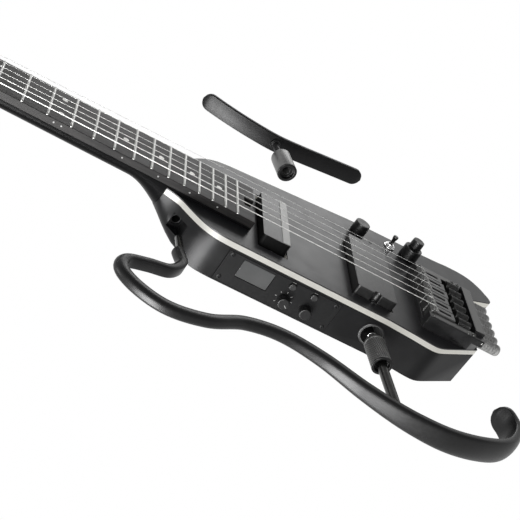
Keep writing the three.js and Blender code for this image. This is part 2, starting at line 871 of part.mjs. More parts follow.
function bridgeSolid() {
  const profile = new THREE.Shape();
  const outer = bridgeHalfWidth;
  profile.moveTo(-outer, 0);
  profile.lineTo(outer, 0);
  profile.lineTo(outer, bridgeRise - bridgeChamfer);
  profile.lineTo(outer - bridgeChamfer, bridgeRise);
  profile.lineTo(bridgeInner, bridgeRise);
  profile.lineTo(bridgeInner, bridgePlate);
  profile.lineTo(-bridgeInner, bridgePlate);
  profile.lineTo(-bridgeInner, bridgeRise);
  profile.lineTo(bridgeChamfer - outer, bridgeRise);
  profile.lineTo(-outer, bridgeRise - bridgeChamfer);
  const geometry = new THREE.ExtrudeGeometry(profile, {
    depth: bridgeRear - bridgeFront, bevelEnabled: false,
  });
  geometry.rotateX(Math.PI / 2);
  geometry.rotateZ(Math.PI / 2);
  geometry.translate(bridgeFront, 0, bodyTop);
  const channel = solidOf(geometry);
  const lipFloor = bodyTop + bridgeLip;
  const foot = channel.intersect(plate(outline, bodyTop, lipFloor + weld));
  const lip = channel.subtract(
    block(bridgeFront - overrun, bridgeRear + overrun, -bodyWidth, bodyWidth, 0, lipFloor),
  );
  const endBlock = block(
    endBlockFace, bridgeRear, -bridgeInner - seatGap, bridgeInner + seatGap,
    bodyTop, bodyTop + endBlockRise,
  );
  const bay = block(
    saddleRear, endBlockFace, -bridgeInner, bridgeInner,
    bodyTop + bridgeBayFloor, bodyTop + bridgePlate + overrun,
  );
  const bores = stringAt.map((y) =>
    rod(
      tunerShaftRadius + tunerRunClearance, bridgeEndBlock + 2 * overrun,
      at(endBlockFace - overrun, y, tunerHeight), towardsTail, tunerFacets,
    ),
  );
  return cut(joined(foot, lip, endBlock), bay, ...bores);
}
addPiece("bridge_base", bridgeSolid(), blackMetal);

// Saddle for one string: a lip that carries the string, a long slot through it and a tunnel behind
function saddleSolid(radius) {
  const floor = bodyTop + bridgePlate;
  const lip = saddleStringHeight - radius - seatGap;
  const tail = bodyTop + saddleTailRise;
  const profile = new THREE.Shape();
  profile.moveTo(saddleFront, floor);
  profile.lineTo(saddleFront + saddleLength, floor);
  profile.lineTo(saddleFront + saddleLength, tail);
  profile.lineTo(saddleSlotStart + saddleLip, tail);
  profile.lineTo(0, lip);
  profile.lineTo(-saddleLip / 2, lip);
  profile.lineTo(saddleFront, tail - saddleLip);
  const geometry = new THREE.ExtrudeGeometry(profile, { depth: saddleWidth, bevelEnabled: false });
  geometry.rotateX(Math.PI / 2);
  geometry.translate(0, saddleWidth / 2, 0);
  const half = saddleSlotWidth / 2;
  const slotEnd = saddleFront + saddleLength - saddleTailWall;
  const slot = block(
    saddleSlotStart, slotEnd, -half, half, floor - overrun, lip + overrun,
  );
  const tunnel = block(
    slotEnd - overrun, slotEnd + saddleTailWall + overrun, -half, half,
    floor - overrun, bodyTop + saddleTunnelRise,
  );
  return cut(solidOf(geometry), slot, tunnel);
}

// String: nut to saddle lip, down through the saddle, and level into the carriage
function stringSolid(i) {
  const y = stringAt[i];
  const path = [
    at(headFace - clampBoreDepth + seatGap, nutStringAt[i], nutStringHeight),
    at(-scaleLength, nutStringAt[i], nutStringHeight),
    at(intonation[i], y, saddleStringHeight),
    at(carriageFrontX - saddleLip, y, tunerHeight),
    at(carriageFrontX + stringAnchorDepth, y, tunerHeight),
  ];
  const rings = path.map((p) =>
    Array.from({ length: stringSides }, (_, k) => {
      const angle = (2 * Math.PI * k) / stringSides;
      return at(p.x, p.y + stringRadii[i] * Math.cos(angle), p.z + stringRadii[i] * Math.sin(angle));
    }),
  );
  return loft(rings);
}

// Carriage: a ribbed barrel with a string bore in front and a shaft bore behind
function carriageSolid() {
  const profile = [[0, 0], [carriageRadius - carriageRibDepth, 0]];
  const pitch = carriageLength / carriageRibs;
  for (let rib = 0; rib < carriageRibs; rib += 1) {
    carriageRibShares.forEach((s) => profile.push([carriageRadius, pitch * (rib + s)]));
    profile.push([carriageRadius - carriageRibDepth, pitch * (rib + 1)]);
  }
  profile.push([0, carriageLength]);
  const start = at(carriageFrontX, 0, 0);
  const stringBore = rod(
    carriageBoreRadius, carriageBoreDepth + overrun, at(carriageFrontX - overrun, 0, 0),
    towardsTail, fretSides,
  );
  const shaftBore = rod(
    tunerShaftRadius + tunerRunClearance, carriageLength - carriageBoreDepth + overrun - seatGap,
    at(carriageFrontX + carriageBoreDepth + seatGap, 0, 0), towardsTail, fretSides * 2,
  );
  return cut(turned(profile, start, towardsTail, carriageFacets), stringBore, shaftBore);
}

// Knob: knurled thimble with a rounded end and a shaft through the end block
function tunerKnobSolid() {
  const neckEnd = tunerKnobGap;
  const end = neckEnd + tunerKnobLength;
  const shaftEnd = carriageFrontX + carriageBoreDepth + tunerTravel + 2 * seatGap - bridgeRear;
  const [inwards, short] = tunerRoundingShares;
  const profile = [
    [0, shaftEnd],
    [tunerShaftRadius, shaftEnd],
    [tunerShaftRadius, seatGap],
    [tunerCollarRadius, seatGap],
    [tunerCollarRadius, neckEnd],
    [tunerKnobRadius, neckEnd + knobBevel],
    [tunerKnobRadius, end - tunerKnobRounding],
    [tunerKnobRadius - tunerKnobRounding * inwards, end - tunerKnobRounding * short],
    [tunerKnobRadius - tunerKnobRounding, end],
    [0, end],
  ];
  return turned(profile, at(bridgeRear, 0, 0), towardsTail, tunerFacets);
}

for (let i = 0; i < stringCount; i += 1) {
  const y = stringAt[i];
  const number = i + 1;
  addPiece(`saddle_${number}`, saddleSolid(stringRadii[i]), brightSteel).position.set(intonation[i], y, 0);
  addPiece(`string_${number}`, stringSolid(i), brightSteel);
  addPiece(`tuner_carriage_${number}`, carriageSolid(), blackMetal).position.set(0, y, tunerHeight);
  addPiece(`tuner_knob_${number}`, tunerKnobSolid(), gunMetal).position.set(0, y, tunerHeight);
}

// Side control panel
const panelHoles = controlColumns.flatMap((x) => [
  [panelKnobShaft + shaftClearance, x, knobRow],
  [buttonRadius + seatGap, x, buttonRow],
]);

function panelSolid() {
  const sheet = block(panelStart, panelEnd, panelFace, panelBack, panelBottom, panelTop);
  const window = block(
    screenStart - seatGap, screenEnd + seatGap, panelFace - overrun, panelBack + overrun,
    screenBottom - seatGap, screenTop + seatGap,
  );
  const holes = panelHoles.map(([radius, x, z]) =>
    rod(radius, panelThickness + 2 * overrun, at(x, panelFace - overrun, z), towardsTreble),
  );
  return cut(sheet, window, ...holes);
}
addPiece("control_panel", panelSolid(), moulded);

const boardPlane = cavityFloor - seatGap - boardSheet;
addPiece(
  "display_screen",
  joined(
    block(
      screenStart, screenEnd, panelFace + screenInset, panelFace + screenInset + screenThickness,
      screenBottom, screenTop,
    ),
    block(
      screenStart + overrun, screenEnd - overrun, panelFace + screenThickness,
      boardPlane - seatGap, screenBottom + overrun, screenTop - overrun,
    ),
  ),
  screenGrey,
);

function circuitSolid() {
  const inset = sideCavityInset + seatGap;
  const lift = sideCavityInset / 2 + seatGap;
  const sheet = block(
    panelStart + inset, panelEnd - inset, boardPlane, boardPlane + boardSheet,
    panelBottom + lift, panelTop - lift,
  );
  const parts = controlColumns.flatMap((x) => [
    block(
      x - encoderSize / 2, x + encoderSize / 2, boardPlane - encoderHeight, boardPlane + seatGap,
      knobRow - encoderSize / 2 + seatGap, knobRow + encoderSize / 2,
    ),
    block(
      x - switchSize / 2, x + switchSize / 2, boardPlane - switchHeight, boardPlane + seatGap,
      buttonRow - switchSize, buttonRow,
    ),
  ]);
  const middle = (controlColumns[0] + controlColumns[1]) / 2;
  const chip = block(
    middle - chipLength / 2, middle + chipLength / 2, boardPlane - chipHeight,
    boardPlane + seatGap, screenBottom, screenBottom + chipLength,
  );
  return joined(sheet, ...parts, chip);
}
addPiece("circuit_board", circuitSolid(), circuitGreen);

function panelKnobSolid() {
  const shaft = boardPlane - encoderHeight - seatGap - panelFace;
  const profile = [
    [0, -shaft],
    [panelKnobShaft, -shaft],
    [panelKnobShaft, seatGap],
    [panelKnobRadius, seatGap],
    [panelKnobRadius, panelKnobHeight - knobBevel],
    [panelKnobRadius - knobBevel, panelKnobHeight],
    [0, panelKnobHeight],
  ];
  return turned(profile, at(0, 0, 0), at(0, -1, 0), panelKnobFacets);
}

function buttonSolid() {
  const flangeStart = -panelThickness - seatGap - buttonFlangeThickness;
  const profile = [
    [0, flangeStart],
    [buttonRadius + buttonFlange, flangeStart],
    [buttonRadius + buttonFlange, -panelThickness - seatGap],
    [buttonRadius, -panelThickness - seatGap],
    [buttonRadius, buttonRise - knobBevel / 2],
    [buttonRadius - knobBevel / 2, buttonRise],
    [0, buttonRise],
  ];
  return turned(profile, at(0, 0, 0), at(0, -1, 0), panelKnobFacets);
}

addPiece("selector_knob", panelKnobSolid(), blackMetal).position.set(controlColumns[0], panelFace, knobRow);
addPiece("panel_volume_knob", panelKnobSolid(), blackMetal)
  .position.set(controlColumns[1], panelFace, knobRow);
addPiece("button_left", buttonSolid(), moulded).position.set(controlColumns[0], panelFace, buttonRow);
addPiece("button_right", buttonSolid(), moulded).position.set(controlColumns[1], panelFace, buttonRow);

// Top controls: pots on their board, knobs, and the toggle
const potFloor = bayCeiling - potHeight;

function potSolid([x, y]) {
  const top = bodyTop + potBushingRise;
  const body = rod(potRadius, potHeight + seatGap, at(x, y, potFloor - seatGap), up);
  const bushing = rod(potBushing, top - bayCeiling + seatGap, at(x, y, bayCeiling - seatGap), up);
  const bore = rod(potShaft + seatGap, top - bayCeiling + overrun, at(x, y, bayCeiling), up);
  return cut(joined(body, bushing), bore);
}

function potBoardSolid() {
  const sheet = block(
    bayStart + potBoardEdge, bayEnd - potBoardEdge, bayBass + seatGap, bayTreble - seatGap,
    potFloor - boardSheet, potFloor,
  );
  return joined(sheet, potSolid(volumeAt), potSolid(toneAt));
}
addPiece("pot_board", potBoardSolid(), circuitGreen);

const knobBase = bodyTop + knobLift;
const shaftDepth = knobBase - bayCeiling - seatGap;

// A turned control knob, hollow below to clear its bushing
function knobSolid(radius, height) {
  const hollow = Math.min(radius - knobWall, potBushing + knobWall);
  const profile = [
    [0, -shaftDepth],
    [potShaft, -shaftDepth],
    [potShaft, knobHollow],
    [hollow, knobHollow],
    [hollow, 0],
    [radius, 0],
    [radius, height - knobBevel],
    [radius - knobBevel, height],
    [0, height],
  ];
  return turned(profile, at(0, 0, 0), up, knobFacets);
}

addPiece("volume_knob", knobSolid(volumeKnobRadius, volumeKnobHeight), blackMetal)
  .position.set(...volumeAt, knobBase);
const innerBore = rod(
  toneInnerShaft + seatGap, shaftDepth + toneLowerHeight + 2 * overrun,
  at(0, 0, -shaftDepth - overrun), up, knobFacets,
);
addPiece("tone_knob_lower", cut(knobSolid(toneLowerRadius, toneLowerHeight), innerBore), blackMetal)
  .position.set(...toneAt, knobBase);
const upperProfile = [
  [0, -shaftDepth - toneLowerHeight],
  [toneInnerShaft, -shaftDepth - toneLowerHeight],
  [toneInnerShaft, seatGap],
  [toneUpperRadius, seatGap],
  [toneUpperRadius, toneUpperHeight - knobBevel],
  [toneUpperRadius - knobBevel, toneUpperHeight],
  [0, toneUpperHeight],
];
addPiece("tone_knob_upper", turned(upperProfile, at(0, 0, 0), up, knobFacets), blackMetal)
  .position.set(...toneAt, knobBase + toneLowerHeight);

const leverPivot = bodyTop + leverPivotRise;

function toggleSolid() {
  const [length, width] = toggleBody;
  const height = potHeight - seatGap;
  const top = bodyTop + toggleBushingRise;
  const body = block(-length / 2, length / 2, -width / 2, width / 2, bayCeiling - height, bayCeiling);
  const bushing = rod(toggleBushing, top - bayCeiling + seatGap, at(0, 0, bayCeiling - seatGap), up);
  const washer = rod(toggleWasher, toggleWasherThickness, at(0, 0, bodyTop), up);
  const boreFloor = leverPivot - leverBall - seatGap;
  const bore = rod(toggleBore, top - boreFloor + overrun, at(0, 0, boreFloor), up, tunerFacets);
  return cut(joined(body, bushing, washer), bore);
}
addPiece("toggle_switch", toggleSolid(), brightSteel).position.set(...toggleAt, 0);
const [ballOut, ballDown] = leverBallShares;
const leverProfile = [
  [0, -leverBall],
  [leverBall * ballOut, -leverBall * ballDown],
  [leverBall, 0],
  [leverBase, leverBall * ballOut],
  [leverBase, toggleBushingRise - leverPivotRise + seatGap],
  [leverTip, leverRise - leverPivotRise - knobBevel],
  [leverTip - knobBevel, leverRise - leverPivotRise],
  [0, leverRise - leverPivotRise],
];
addPiece("toggle_lever", turned(leverProfile, at(0, 0, 0), up, tunerFacets), moulded)
  .position.set(...toggleAt, leverPivot);

// Battery against the bay's ceiling
addPiece(
  "battery",
  block(
    -batteryLength / 2, batteryLength / 2, -batteryWidth / 2, batteryWidth / 2,
    batteryBayCeiling - batteryHeight, batteryBayCeiling,
  ),
  batteryBlue,
).position.set((bayStart + batteryBayEnd) / 2, (batteryBayBass + bayBass) / 2, 0);

// Output jack
function jackSolid() {
  const start = at(jackX, jackOuter, jackHeight);
  const barrel = jackLength + jackFlangeThickness - seatGap;
  const bore = jackLength - jackEndWall;
  const profile = [
    [0, 0],
    [jackRadius, 0],
    [jackRadius, barrel - jackFlangeThickness],
    [jackFlange, barrel - jackFlangeThickness],
    [jackFlange, barrel],
    [jackBore, barrel],
    [jackBore, barrel - bore],
    [0, barrel - bore],
  ];
  return turned(profile, along(start, towardsTreble, -barrel), towardsTreble);
}
addPiece("output_jack", jackSolid(), brightSteel);

// Sockets: a cup with a hollow post, trimmed flush with the edge it stands in
function socketSolid(mouth, inwards, trimSide, nut) {
  const deep = socketDepth + socketFloor;
  const outer = socketRadius(nut);
  const inner = outer - socketWall;
  const postEnd = deep + postProud;
  const start = along(mouth, inwards, deep);
  const outwards = inwards.clone().negate();
  const wall = [
    [0, 0],
    [outer, 0],
    [outer, deep + outer],
    [inner, deep + outer],
    [inner, socketFloor],
    [0, socketFloor],
  ];
  const post = [
    [0, 0],
    [postRadius, 0],
    [postRadius, postEnd],
    [postBore, postEnd],
    [postBore, postEnd - postBoreDepth],
    [0, postEnd - postBoreDepth],
  ];
  const far = mouth.y + trimSide * socketProud;
  const low = trimSide > 0 ? far : far - bodyWidth;
  const trim = block(-bodyLength, bodyLength, low, low + bodyWidth, -bodyWidth, bodyWidth);
  return joined(cut(turned(wall, start, outwards), trim), turned(post, start, outwards));
}
addPiece("arm_socket_rear", socketSolid(armMouth, armIn, -1, armNut), gunMetal);
addPiece("leg_socket", socketSolid(legMouth, legIn, 1, legNut), gunMetal);

const sleeveBore = heelSleeveLength - heelSleeveFloor;
const sleeveProfile = [
  [0, 0],
  [heelSleeveRadius, 0],
  [heelSleeveRadius, heelSleeveLength],
  [armPinRadius + shaftClearance, heelSleeveLength],
  [armPinRadius + shaftClearance, heelSleeveLength - sleeveBore],
  [0, heelSleeveLength - sleeveBore],
];
addPiece(
  "arm_socket_front",
  turned(sleeveProfile, along(heelFloor, armIn, heelSleeveLength + seatGap), armOut),
  gunMetal,
);

// Swept bar with a flat face on its path, a flat shoulder and a rounded outside
function barSolid(curve, stations, heightAt, thickness) {
  const length = curve.getLength();
  const rings = Array.from({ length: stations + 1 }, (_, i) => {
    const u = i / stations;
    const p = curve.getPointAt(u);
    const t = curve.getTangentAt(u);
    const outwards = at(t.y, -t.x, 0).normalize();
    const height = heightAt(u);
    const near = Math.min(u, 1 - u) * length;
    const round = endScale(near, height / 2);
    const half = (height / 2) * round;
    const flat = thickness * barFlatShare;
    const deep = (thickness - flat) * round;
    const points = [[0, -half], [0, half], [flat, half]];
    for (let k = 1; k < barArcPoints; k += 1) {
      const angle = (Math.PI * k) / barArcPoints;
      points.push([flat + deep * Math.sin(angle), half * Math.cos(angle)]);
    }
    points.push([flat, -half]);
    return points.map(([out, z]) => along(p, outwards, out).add(at(0, 0, z)));
  });
  return loft(rings);
}

// How far a bar's height has grown at a distance from its rounded end
function endScale(distance, radius) {
  const inside = Math.max(0, 1 - distance / radius);
  return Math.max(barEndShare, Math.sqrt(Math.max(0, 1 - inside * inside)));
}

const curveThrough = (points) => new THREE.CatmullRomCurve3(points, false, "centripetal");
const armCurve = curveThrough(armPath);

function armHeight(u) {
  const [from, to] = armWidenShares;
  const grown = THREE.MathUtils.smoothstep(u, from, to);
  return armBarHeight + (armHookHeight - armBarHeight) * grown;
}

// What lies beyond the flat face of a bar, to trim a rod that lands on it
function beyondBar(curve, station) {
  const point = curve.getPointAt(station);
  const tangent = curve.getTangentAt(station);
  const far = new THREE.BoxGeometry(bodyWidth, bodyWidth, bodyWidth);
  far.translate(0, seatGap - bodyWidth / 2, 0);
  far.rotateZ(Math.atan2(tangent.y, tangent.x));
  far.translate(point.x, point.y, point.z);
  return solidOf(far);
}

function armRodSolid(start) {
  const meeting = curveMeeting(armCurve, armMouth, armOut);
  const length = meeting.point.distanceTo(armMouth) - start + armRodRadius;
  const shaft = rod(armRodRadius, length, along(armMouth, armOut, start), armOut);
  return cut(shaft, beyondBar(armCurve, meeting.station));
}

// The point of a curve that lies nearest to a line, on the side the line points to
function curveMeeting(curve, start, direction) {
  const steps = armStations * armStations;
  let best = { off: Infinity };
  for (let i = 0; i <= steps; i += 1) {
    const station = i / steps;
    const point = curve.getPointAt(station);
    const off = point.clone().sub(start).cross(direction).length();
    if (off < best.off) best = { off, station, point };
  }
  return best;
}

addPiece(
  "arm_frame",
  joined(
    barSolid(armCurve, armStations, armHeight, armBarThickness),
    rod(armPinRadius, armPinReach + armPinRoot, pinStart, armOut, bodyFacets),
  ),
  blackMetal,
);
const thumbMouthAt = armStandoff + thumbLength;
const rodStart = thumbMouthAt - armRodInsert - thumbMouthDepth;
addPiece("arm_rod", armRodSolid(rodStart), blackMetal);

// Thumb nut with a nose at the start, a mouth at the end, a bore for the post and one for the rod
function thumbSolid(start, direction, nut, postAtNose, rodRadius, rodDepth) {
  const postDepth = socketDepth + postProud;
  const wide = postRadius + shaftClearance;
  const narrow = rodRadius + shaftClearance;
  const outer = [
    [nut.nose, 0],
    [nut.radius, thumbTaper],
    [nut.radius, thumbLength - knobBevel],
    [nut.radius - knobBevel, thumbLength],
  ];
  const mouthEnd = thumbLength - thumbMouthDepth;
  const inner = postAtNose
    ? [
      [nut.mouth, thumbLength],
      [nut.mouth, mouthEnd],
      [narrow, mouthEnd],
      [narrow, mouthEnd - rodDepth],
      [0, mouthEnd - rodDepth],
    ]
    : [
      [nut.mouth, thumbLength],
      [nut.mouth, mouthEnd],
      [wide, mouthEnd],
      [wide, thumbLength - postDepth],
      [0, thumbLength - postDepth],
    ];
  const base = postAtNose
    ? [[0, postDepth], [wide, postDepth], [wide, 0]]
    : [[0, rodDepth], [narrow, rodDepth], [narrow, 0]];
  return turned([...base, ...outer, ...inner], start, direction, thumbFacets);
}

addPiece(
  "arm_thumb_nut",
  thumbSolid(
    along(armMouth, armOut, armStandoff), armOut, armNut, true, armRodRadius, armRodInsert + seatGap,
  ),
  gunMetal,
);

// Leg rest: bar, stem and thumb nut
const legNose = along(legMouth, legOut, legReach + thumbLength);
const legRoot = along(legMouth, legOut, legReach + legBarGap);
const legCurve = curveThrough(
  legPathShares.map(([u, v]) => at(legRoot.x + u * legLength, legRoot.y + v * legLength, legRoot.z)),
);
addPiece(
  "leg_rest_bar",
  barSolid(legCurve, legStations, () => legBarHeight, legBarThickness),
  blackMetal,
);
function legStemSolid() {
  const start = along(legRoot, legOut, legCollarRadius);
  const stem = legBarGap - thumbLength + legStemInsert + legCollarRadius;
  const stemAndCollar = joined(
    rod(legStemRadius, stem, start, legIn),
    rod(legCollarRadius, legCollarLength + legCollarRadius, start, legIn),
  );
  const { station } = curveMeeting(legCurve, legRoot, legOut);
  return cut(stemAndCollar, beyondBar(legCurve, station));
}
addPiece("leg_rest_stem", legStemSolid(), blackMetal);
addPiece(
  "leg_thumb_nut",
  thumbSolid(legNose, legIn, legNut, false, legStemRadius, legStemInsert + seatGap),
  gunMetal,
);

export default guitar;
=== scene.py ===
"""Travel guitar, dressed for its picture.

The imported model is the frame. Each sub-assembly is a class with its sizes in millimetres, in the
frame's own axes: +X towards the tail, +Y towards the treble strings, +Z out of the playing face.
"""

from __future__ import annotations

import json
import logging
import math
from collections.abc import Sequence
from dataclasses import dataclass
from enum import Enum

import bmesh
import bpy
import numpy as np
from mathutils import Matrix, Vector

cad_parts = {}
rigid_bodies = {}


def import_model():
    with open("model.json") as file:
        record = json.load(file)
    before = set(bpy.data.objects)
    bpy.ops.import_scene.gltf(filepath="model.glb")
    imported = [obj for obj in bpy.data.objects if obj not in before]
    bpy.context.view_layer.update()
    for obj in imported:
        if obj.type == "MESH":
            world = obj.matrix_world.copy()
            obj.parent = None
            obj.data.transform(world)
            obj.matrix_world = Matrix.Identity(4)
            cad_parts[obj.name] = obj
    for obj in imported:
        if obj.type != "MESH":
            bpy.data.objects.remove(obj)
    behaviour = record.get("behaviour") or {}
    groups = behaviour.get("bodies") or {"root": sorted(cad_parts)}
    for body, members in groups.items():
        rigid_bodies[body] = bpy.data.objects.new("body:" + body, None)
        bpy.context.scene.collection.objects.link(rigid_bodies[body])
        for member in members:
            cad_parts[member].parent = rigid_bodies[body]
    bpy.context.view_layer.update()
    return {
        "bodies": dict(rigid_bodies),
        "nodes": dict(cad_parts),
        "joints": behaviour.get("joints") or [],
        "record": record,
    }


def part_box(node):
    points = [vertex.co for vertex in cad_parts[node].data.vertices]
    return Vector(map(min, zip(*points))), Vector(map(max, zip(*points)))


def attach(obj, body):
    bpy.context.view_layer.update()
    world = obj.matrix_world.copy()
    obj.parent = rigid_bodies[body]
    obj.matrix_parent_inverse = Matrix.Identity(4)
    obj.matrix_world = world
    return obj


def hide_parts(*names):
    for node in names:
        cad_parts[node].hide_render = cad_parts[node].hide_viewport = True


LOG = logging.getLogger("travel_guitar")
Outline = tuple[tuple[float, float], ...]
MM = 0.001
TAIL = np.array([1.0, 0.0, 0.0])
TREBLE = np.array([0.0, 1.0, 0.0])
UP = np.array([0.0, 0.0, 1.0])
BODY_TOP = 36.5
BASS_EDGE = -53.0
STRINGS = 6
STRING_SPACING = 10.8
SUPPORT_LEVEL = 17.5
SCREW_STEPS = 48


# Surfaces: every shape is an array of points over two parameters


@dataclass(frozen=True)
class Skin:
    """A surface as points in millimetres, with four-sided faces and many-sided caps, and how
    deep each point lies in a groove, from 0 to 1, where it has grooves."""

    points: np.ndarray
    quads: np.ndarray
    caps: tuple[tuple[int, ...], ...] = ()
    # groove depth is also the mask of painted shade in grooved finishes
    groove: np.ndarray | None = None

    def beside(self, other: "Skin") -> "Skin":
        """Both surfaces as one, the other's indices moved past this one's points. It keeps no
        grooves.

        Args:
            other: the surface that is added.
        Returns:
            One surface that holds both.
        """
        shift = len(self.points)
        moved = tuple(tuple(i + shift for i in cap) for cap in other.caps)
        return Skin(
            np.vstack([self.points, other.points]),
            np.vstack([self.quads, other.quads + shift]),
            self.caps + moved,
        )


def together(skins: list[Skin]) -> Skin:
    """All surfaces of a list as one.

    Args:
        skins: the surfaces, at least one.
    Returns:
        One surface.
    """
    whole = skins[0]
    for skin in skins[1:]:
        whole = whole.beside(skin)
    return whole


def grid_quads(rows: int, columns: int, ring: bool = True) -> np.ndarray:
    """Faces of a grid: point (r, c) joins (r, c+1), (r+1, c+1) and (r+1, c).

    Args:
        rows: number of rows of points.
        columns: number of points in a row.
        ring: whether the last column joins the first.
    Returns:
        Indices of the faces, four to a row.
    """
    r = np.arange(rows - 1)[:, None]
    c = np.arange(columns if ring else columns - 1)[None, :]
    n = (c + 1) % columns
    faces = np.stack(np.broadcast_arrays(
        r * columns + c, r * columns + n, (r + 1) * columns + n, (r + 1) * columns + c
    ), axis=-1)
    return faces.reshape(-1, 4)


def tube(rings: np.ndarray) -> Skin:
    """A closed surface through rings of points, shut by a flat cap at each end.

    Args:
        rings: points, shaped (stations, points of a ring, 3).
    Returns:
        The surface.
    """
    rows, columns = rings.shape[:2]
    first = tuple(range(columns))[::-1]
    last = tuple(range((rows - 1) * columns, rows * columns))
    return Skin(rings.reshape(-1, 3), grid_quads(rows, columns), (first, last))


def across(direction: np.ndarray) -> tuple[np.ndarray, np.ndarray]:
    """Two unit vectors square to a direction and to each other.

    Args:
        direction: the axis, of any length.
    Returns:
        The two vectors, whose cross product points along the axis.
    """
    axis = direction / np.linalg.norm(direction)
    helper = UP if abs(axis[2]) < 0.9 else TAIL
    side = np.cross(helper, axis)
    side = side / np.linalg.norm(side)
    return side, np.cross(axis, side)


def softened(
    profile: Sequence[tuple[float, float]], radius: float, steps: int = 4
) -> np.ndarray:
    """A profile whose inner corners are rounded: each corner P becomes the curve
    (1-t)^2 A + 2t(1-t) P + t^2 B between points A and B a radius before and after it.

    Args:
        profile: corners as (radius, distance).
        radius: how far from the corner the rounding starts.
        steps: points on each rounding.
    Returns:
        The rounded profile.
    """
    p = np.array(profile, float)
    before, corner, after = p[:-2], p[1:-1], p[2:]
    back, ahead = before - corner, after - corner
    back_length = np.linalg.norm(back, axis=1, keepdims=True) + 1e-9
    ahead_length = np.linalg.norm(ahead, axis=1, keepdims=True) + 1e-9
    reach = np.minimum(radius, 0.45 * np.minimum(back_length, ahead_length))
    a = (corner + back / back_length * reach)[:, None, :]
    b = (corner + ahead / ahead_length * reach)[:, None, :]
    t = np.linspace(0, 1, steps)[None, :, None]
    curve = (1 - t) ** 2 * a + 2 * t * (1 - t) * corner[:, None, :] + t**2 * b
    return np.vstack([p[:1], curve.reshape(-1, 2), p[-1:]])


def divided(profile: np.ndarray, longest: float) -> np.ndarray:
    """A profile with extra points, so that no stretch of it is longer than a limit.

    Args:
        profile: points as (radius, distance).
        longest: the longest stretch.
    Returns:
        The profile with points spaced evenly on each stretch.
    """
    lengths = np.linalg.norm(np.diff(profile, axis=0), axis=1)
    counts = np.maximum(1, np.ceil(lengths / longest).astype(int))
    starts = np.repeat(np.arange(len(counts)), counts)
    order = np.arange(counts.sum()) - np.repeat(np.cumsum(counts) - counts, counts)
    share = (order / counts[starts])[:, None]
    inner = profile[starts] * (1 - share) + profile[starts + 1] * share
    return np.vstack([inner, profile[-1:]])


def turned(
    profile: np.ndarray,
    start: np.ndarray,
    direction: np.ndarray,
    steps: int = 48,
    relief: np.ndarray | None = None,
) -> Skin:
    """A turned surface: start + axis * distance + (radius + relief) * (side cos a + other sin a).

    Args:
        profile: points as (radius, distance), with both ends on the axis or in one point.
        start: the point of the axis where distance is 0.
        direction: the axis.
        steps: points round the axis.
        relief: what is added to the radius, shaped (points of the profile, steps); its
            deepest point counts as the bottom of a groove.
    Returns:
        The surface.
    """
    axis = direction / np.linalg.norm(direction)
    side, other = across(axis)
    angle = np.linspace(0, 2 * math.pi, steps, endpoint=False)
    ring = np.cos(angle)[:, None] * side + np.sin(angle)[:, None] * other
    radius = np.repeat(profile[:, :1], steps, axis=1)
    groove = None
    if relief is not None:
        radius = radius + relief
        groove = (relief / relief.min()).reshape(-1)
    points = start + profile[:, 1][:, None, None] * axis + radius[..., None] * ring[None]
    return Skin(points.reshape(-1, 3), grid_quads(len(profile), steps), groove=groove)


def knurl(
    profile: np.ndarray, steps: int, start: float, end: float, radius: float,
    teeth: int, pitch: float, depth: float,
) -> np.ndarray:
    """Diamond knurling: two families of helical grooves, depth * |sin| of angle plus and minus
    distance, kept between two distances and only on the outermost radius.

    Args:
        profile: points as (radius, distance).
        steps: points round the axis.
        start: distance at which the knurling begins.
        end: distance at which it ends.
        radius: the outer radius that carries it.
        teeth: grooves of one family round the axis.
        pitch: distance between grooves along the axis, or 0 for straight grooves.
        depth: how deep the grooves go.
    Returns:
        Relief for turned(), shaped (points of the profile, steps).
    """
    angle = np.linspace(0, 2 * math.pi, steps, endpoint=False)[None, :]
    distance = profile[:, 1][:, None]
    slant = math.pi * distance / pitch if pitch else 0 * distance
    one = np.abs(np.sin(teeth * angle / 2 + slant))
    two = np.abs(np.sin(teeth * angle / 2 - slant))
    groove = -depth * (1 - np.minimum(one, two)) ** 2
    outer = (profile[:, 0][:, None] > radius - 0.02) & (distance >= start) & (distance <= end)
    return np.where(outer, groove, 0.0)


def prism(outline: np.ndarray, low: float, high: float) -> Skin:
    """An outline in the plane of the face, raised between two heights.

    Args:
        outline: points as (x, y), counter-clockwise.
        low: lower height.
        high: upper height.
    Returns:
        The closed surface.
    """
    count = len(outline)
    heights = np.array([low, high])
    xy = np.broadcast_to(outline, (2, count, 2))
    z = np.broadcast_to(heights[:, None, None], (2, count, 1))
    return tube(np.concatenate([xy, z], axis=-1))


def string_place(i: int, spacing: float) -> float:
    """The y of string i, where the six lie evenly about the middle and 0 is on the treble side."""
    return ((STRINGS - 1) / 2 - i) * spacing


def on_side(skin: Skin, plane: float) -> Skin:
    """A surface drawn flat and stood on the bass edge: (x, y, z) becomes (x, plane - z, y).

    Args:
        skin: the surface, x along the edge, y up the edge, z out of it.
        plane: the y of the edge.
    Returns:
        The stood surface.
    """
    x, y, z = skin.points.T
    return Skin(np.stack([x, plane - z, y], axis=1), skin.quads, skin.caps)


def rounded_rectangle(
    x0: float, x1: float, y0: float, y1: float, corner: float, steps: int = 6
) -> np.ndarray:
    """A rectangle whose corners are quarter circles.

    Args:
        x0: low x.
        x1: high x.
        y0: low y.
        y1: high y.
        corner: radius of the corners.
        steps: points on each quarter circle.
    Returns:
        Points as (x, y), counter-clockwise.
    """
    centres = np.array([
        [x1 - corner, y0 + corner], [x1 - corner, y1 - corner],
        [x0 + corner, y1 - corner], [x0 + corner, y0 + corner],
    ])
    starts = np.array([-0.5, 0.0, 0.5, 1.0]) * math.pi
    angle = starts[:, None] + np.linspace(0, math.pi / 2, steps)[None, :]
    arc = np.stack([np.cos(angle), np.sin(angle)], axis=-1) * corner
    return (centres[:, None, :] + arc).reshape(-1, 2)


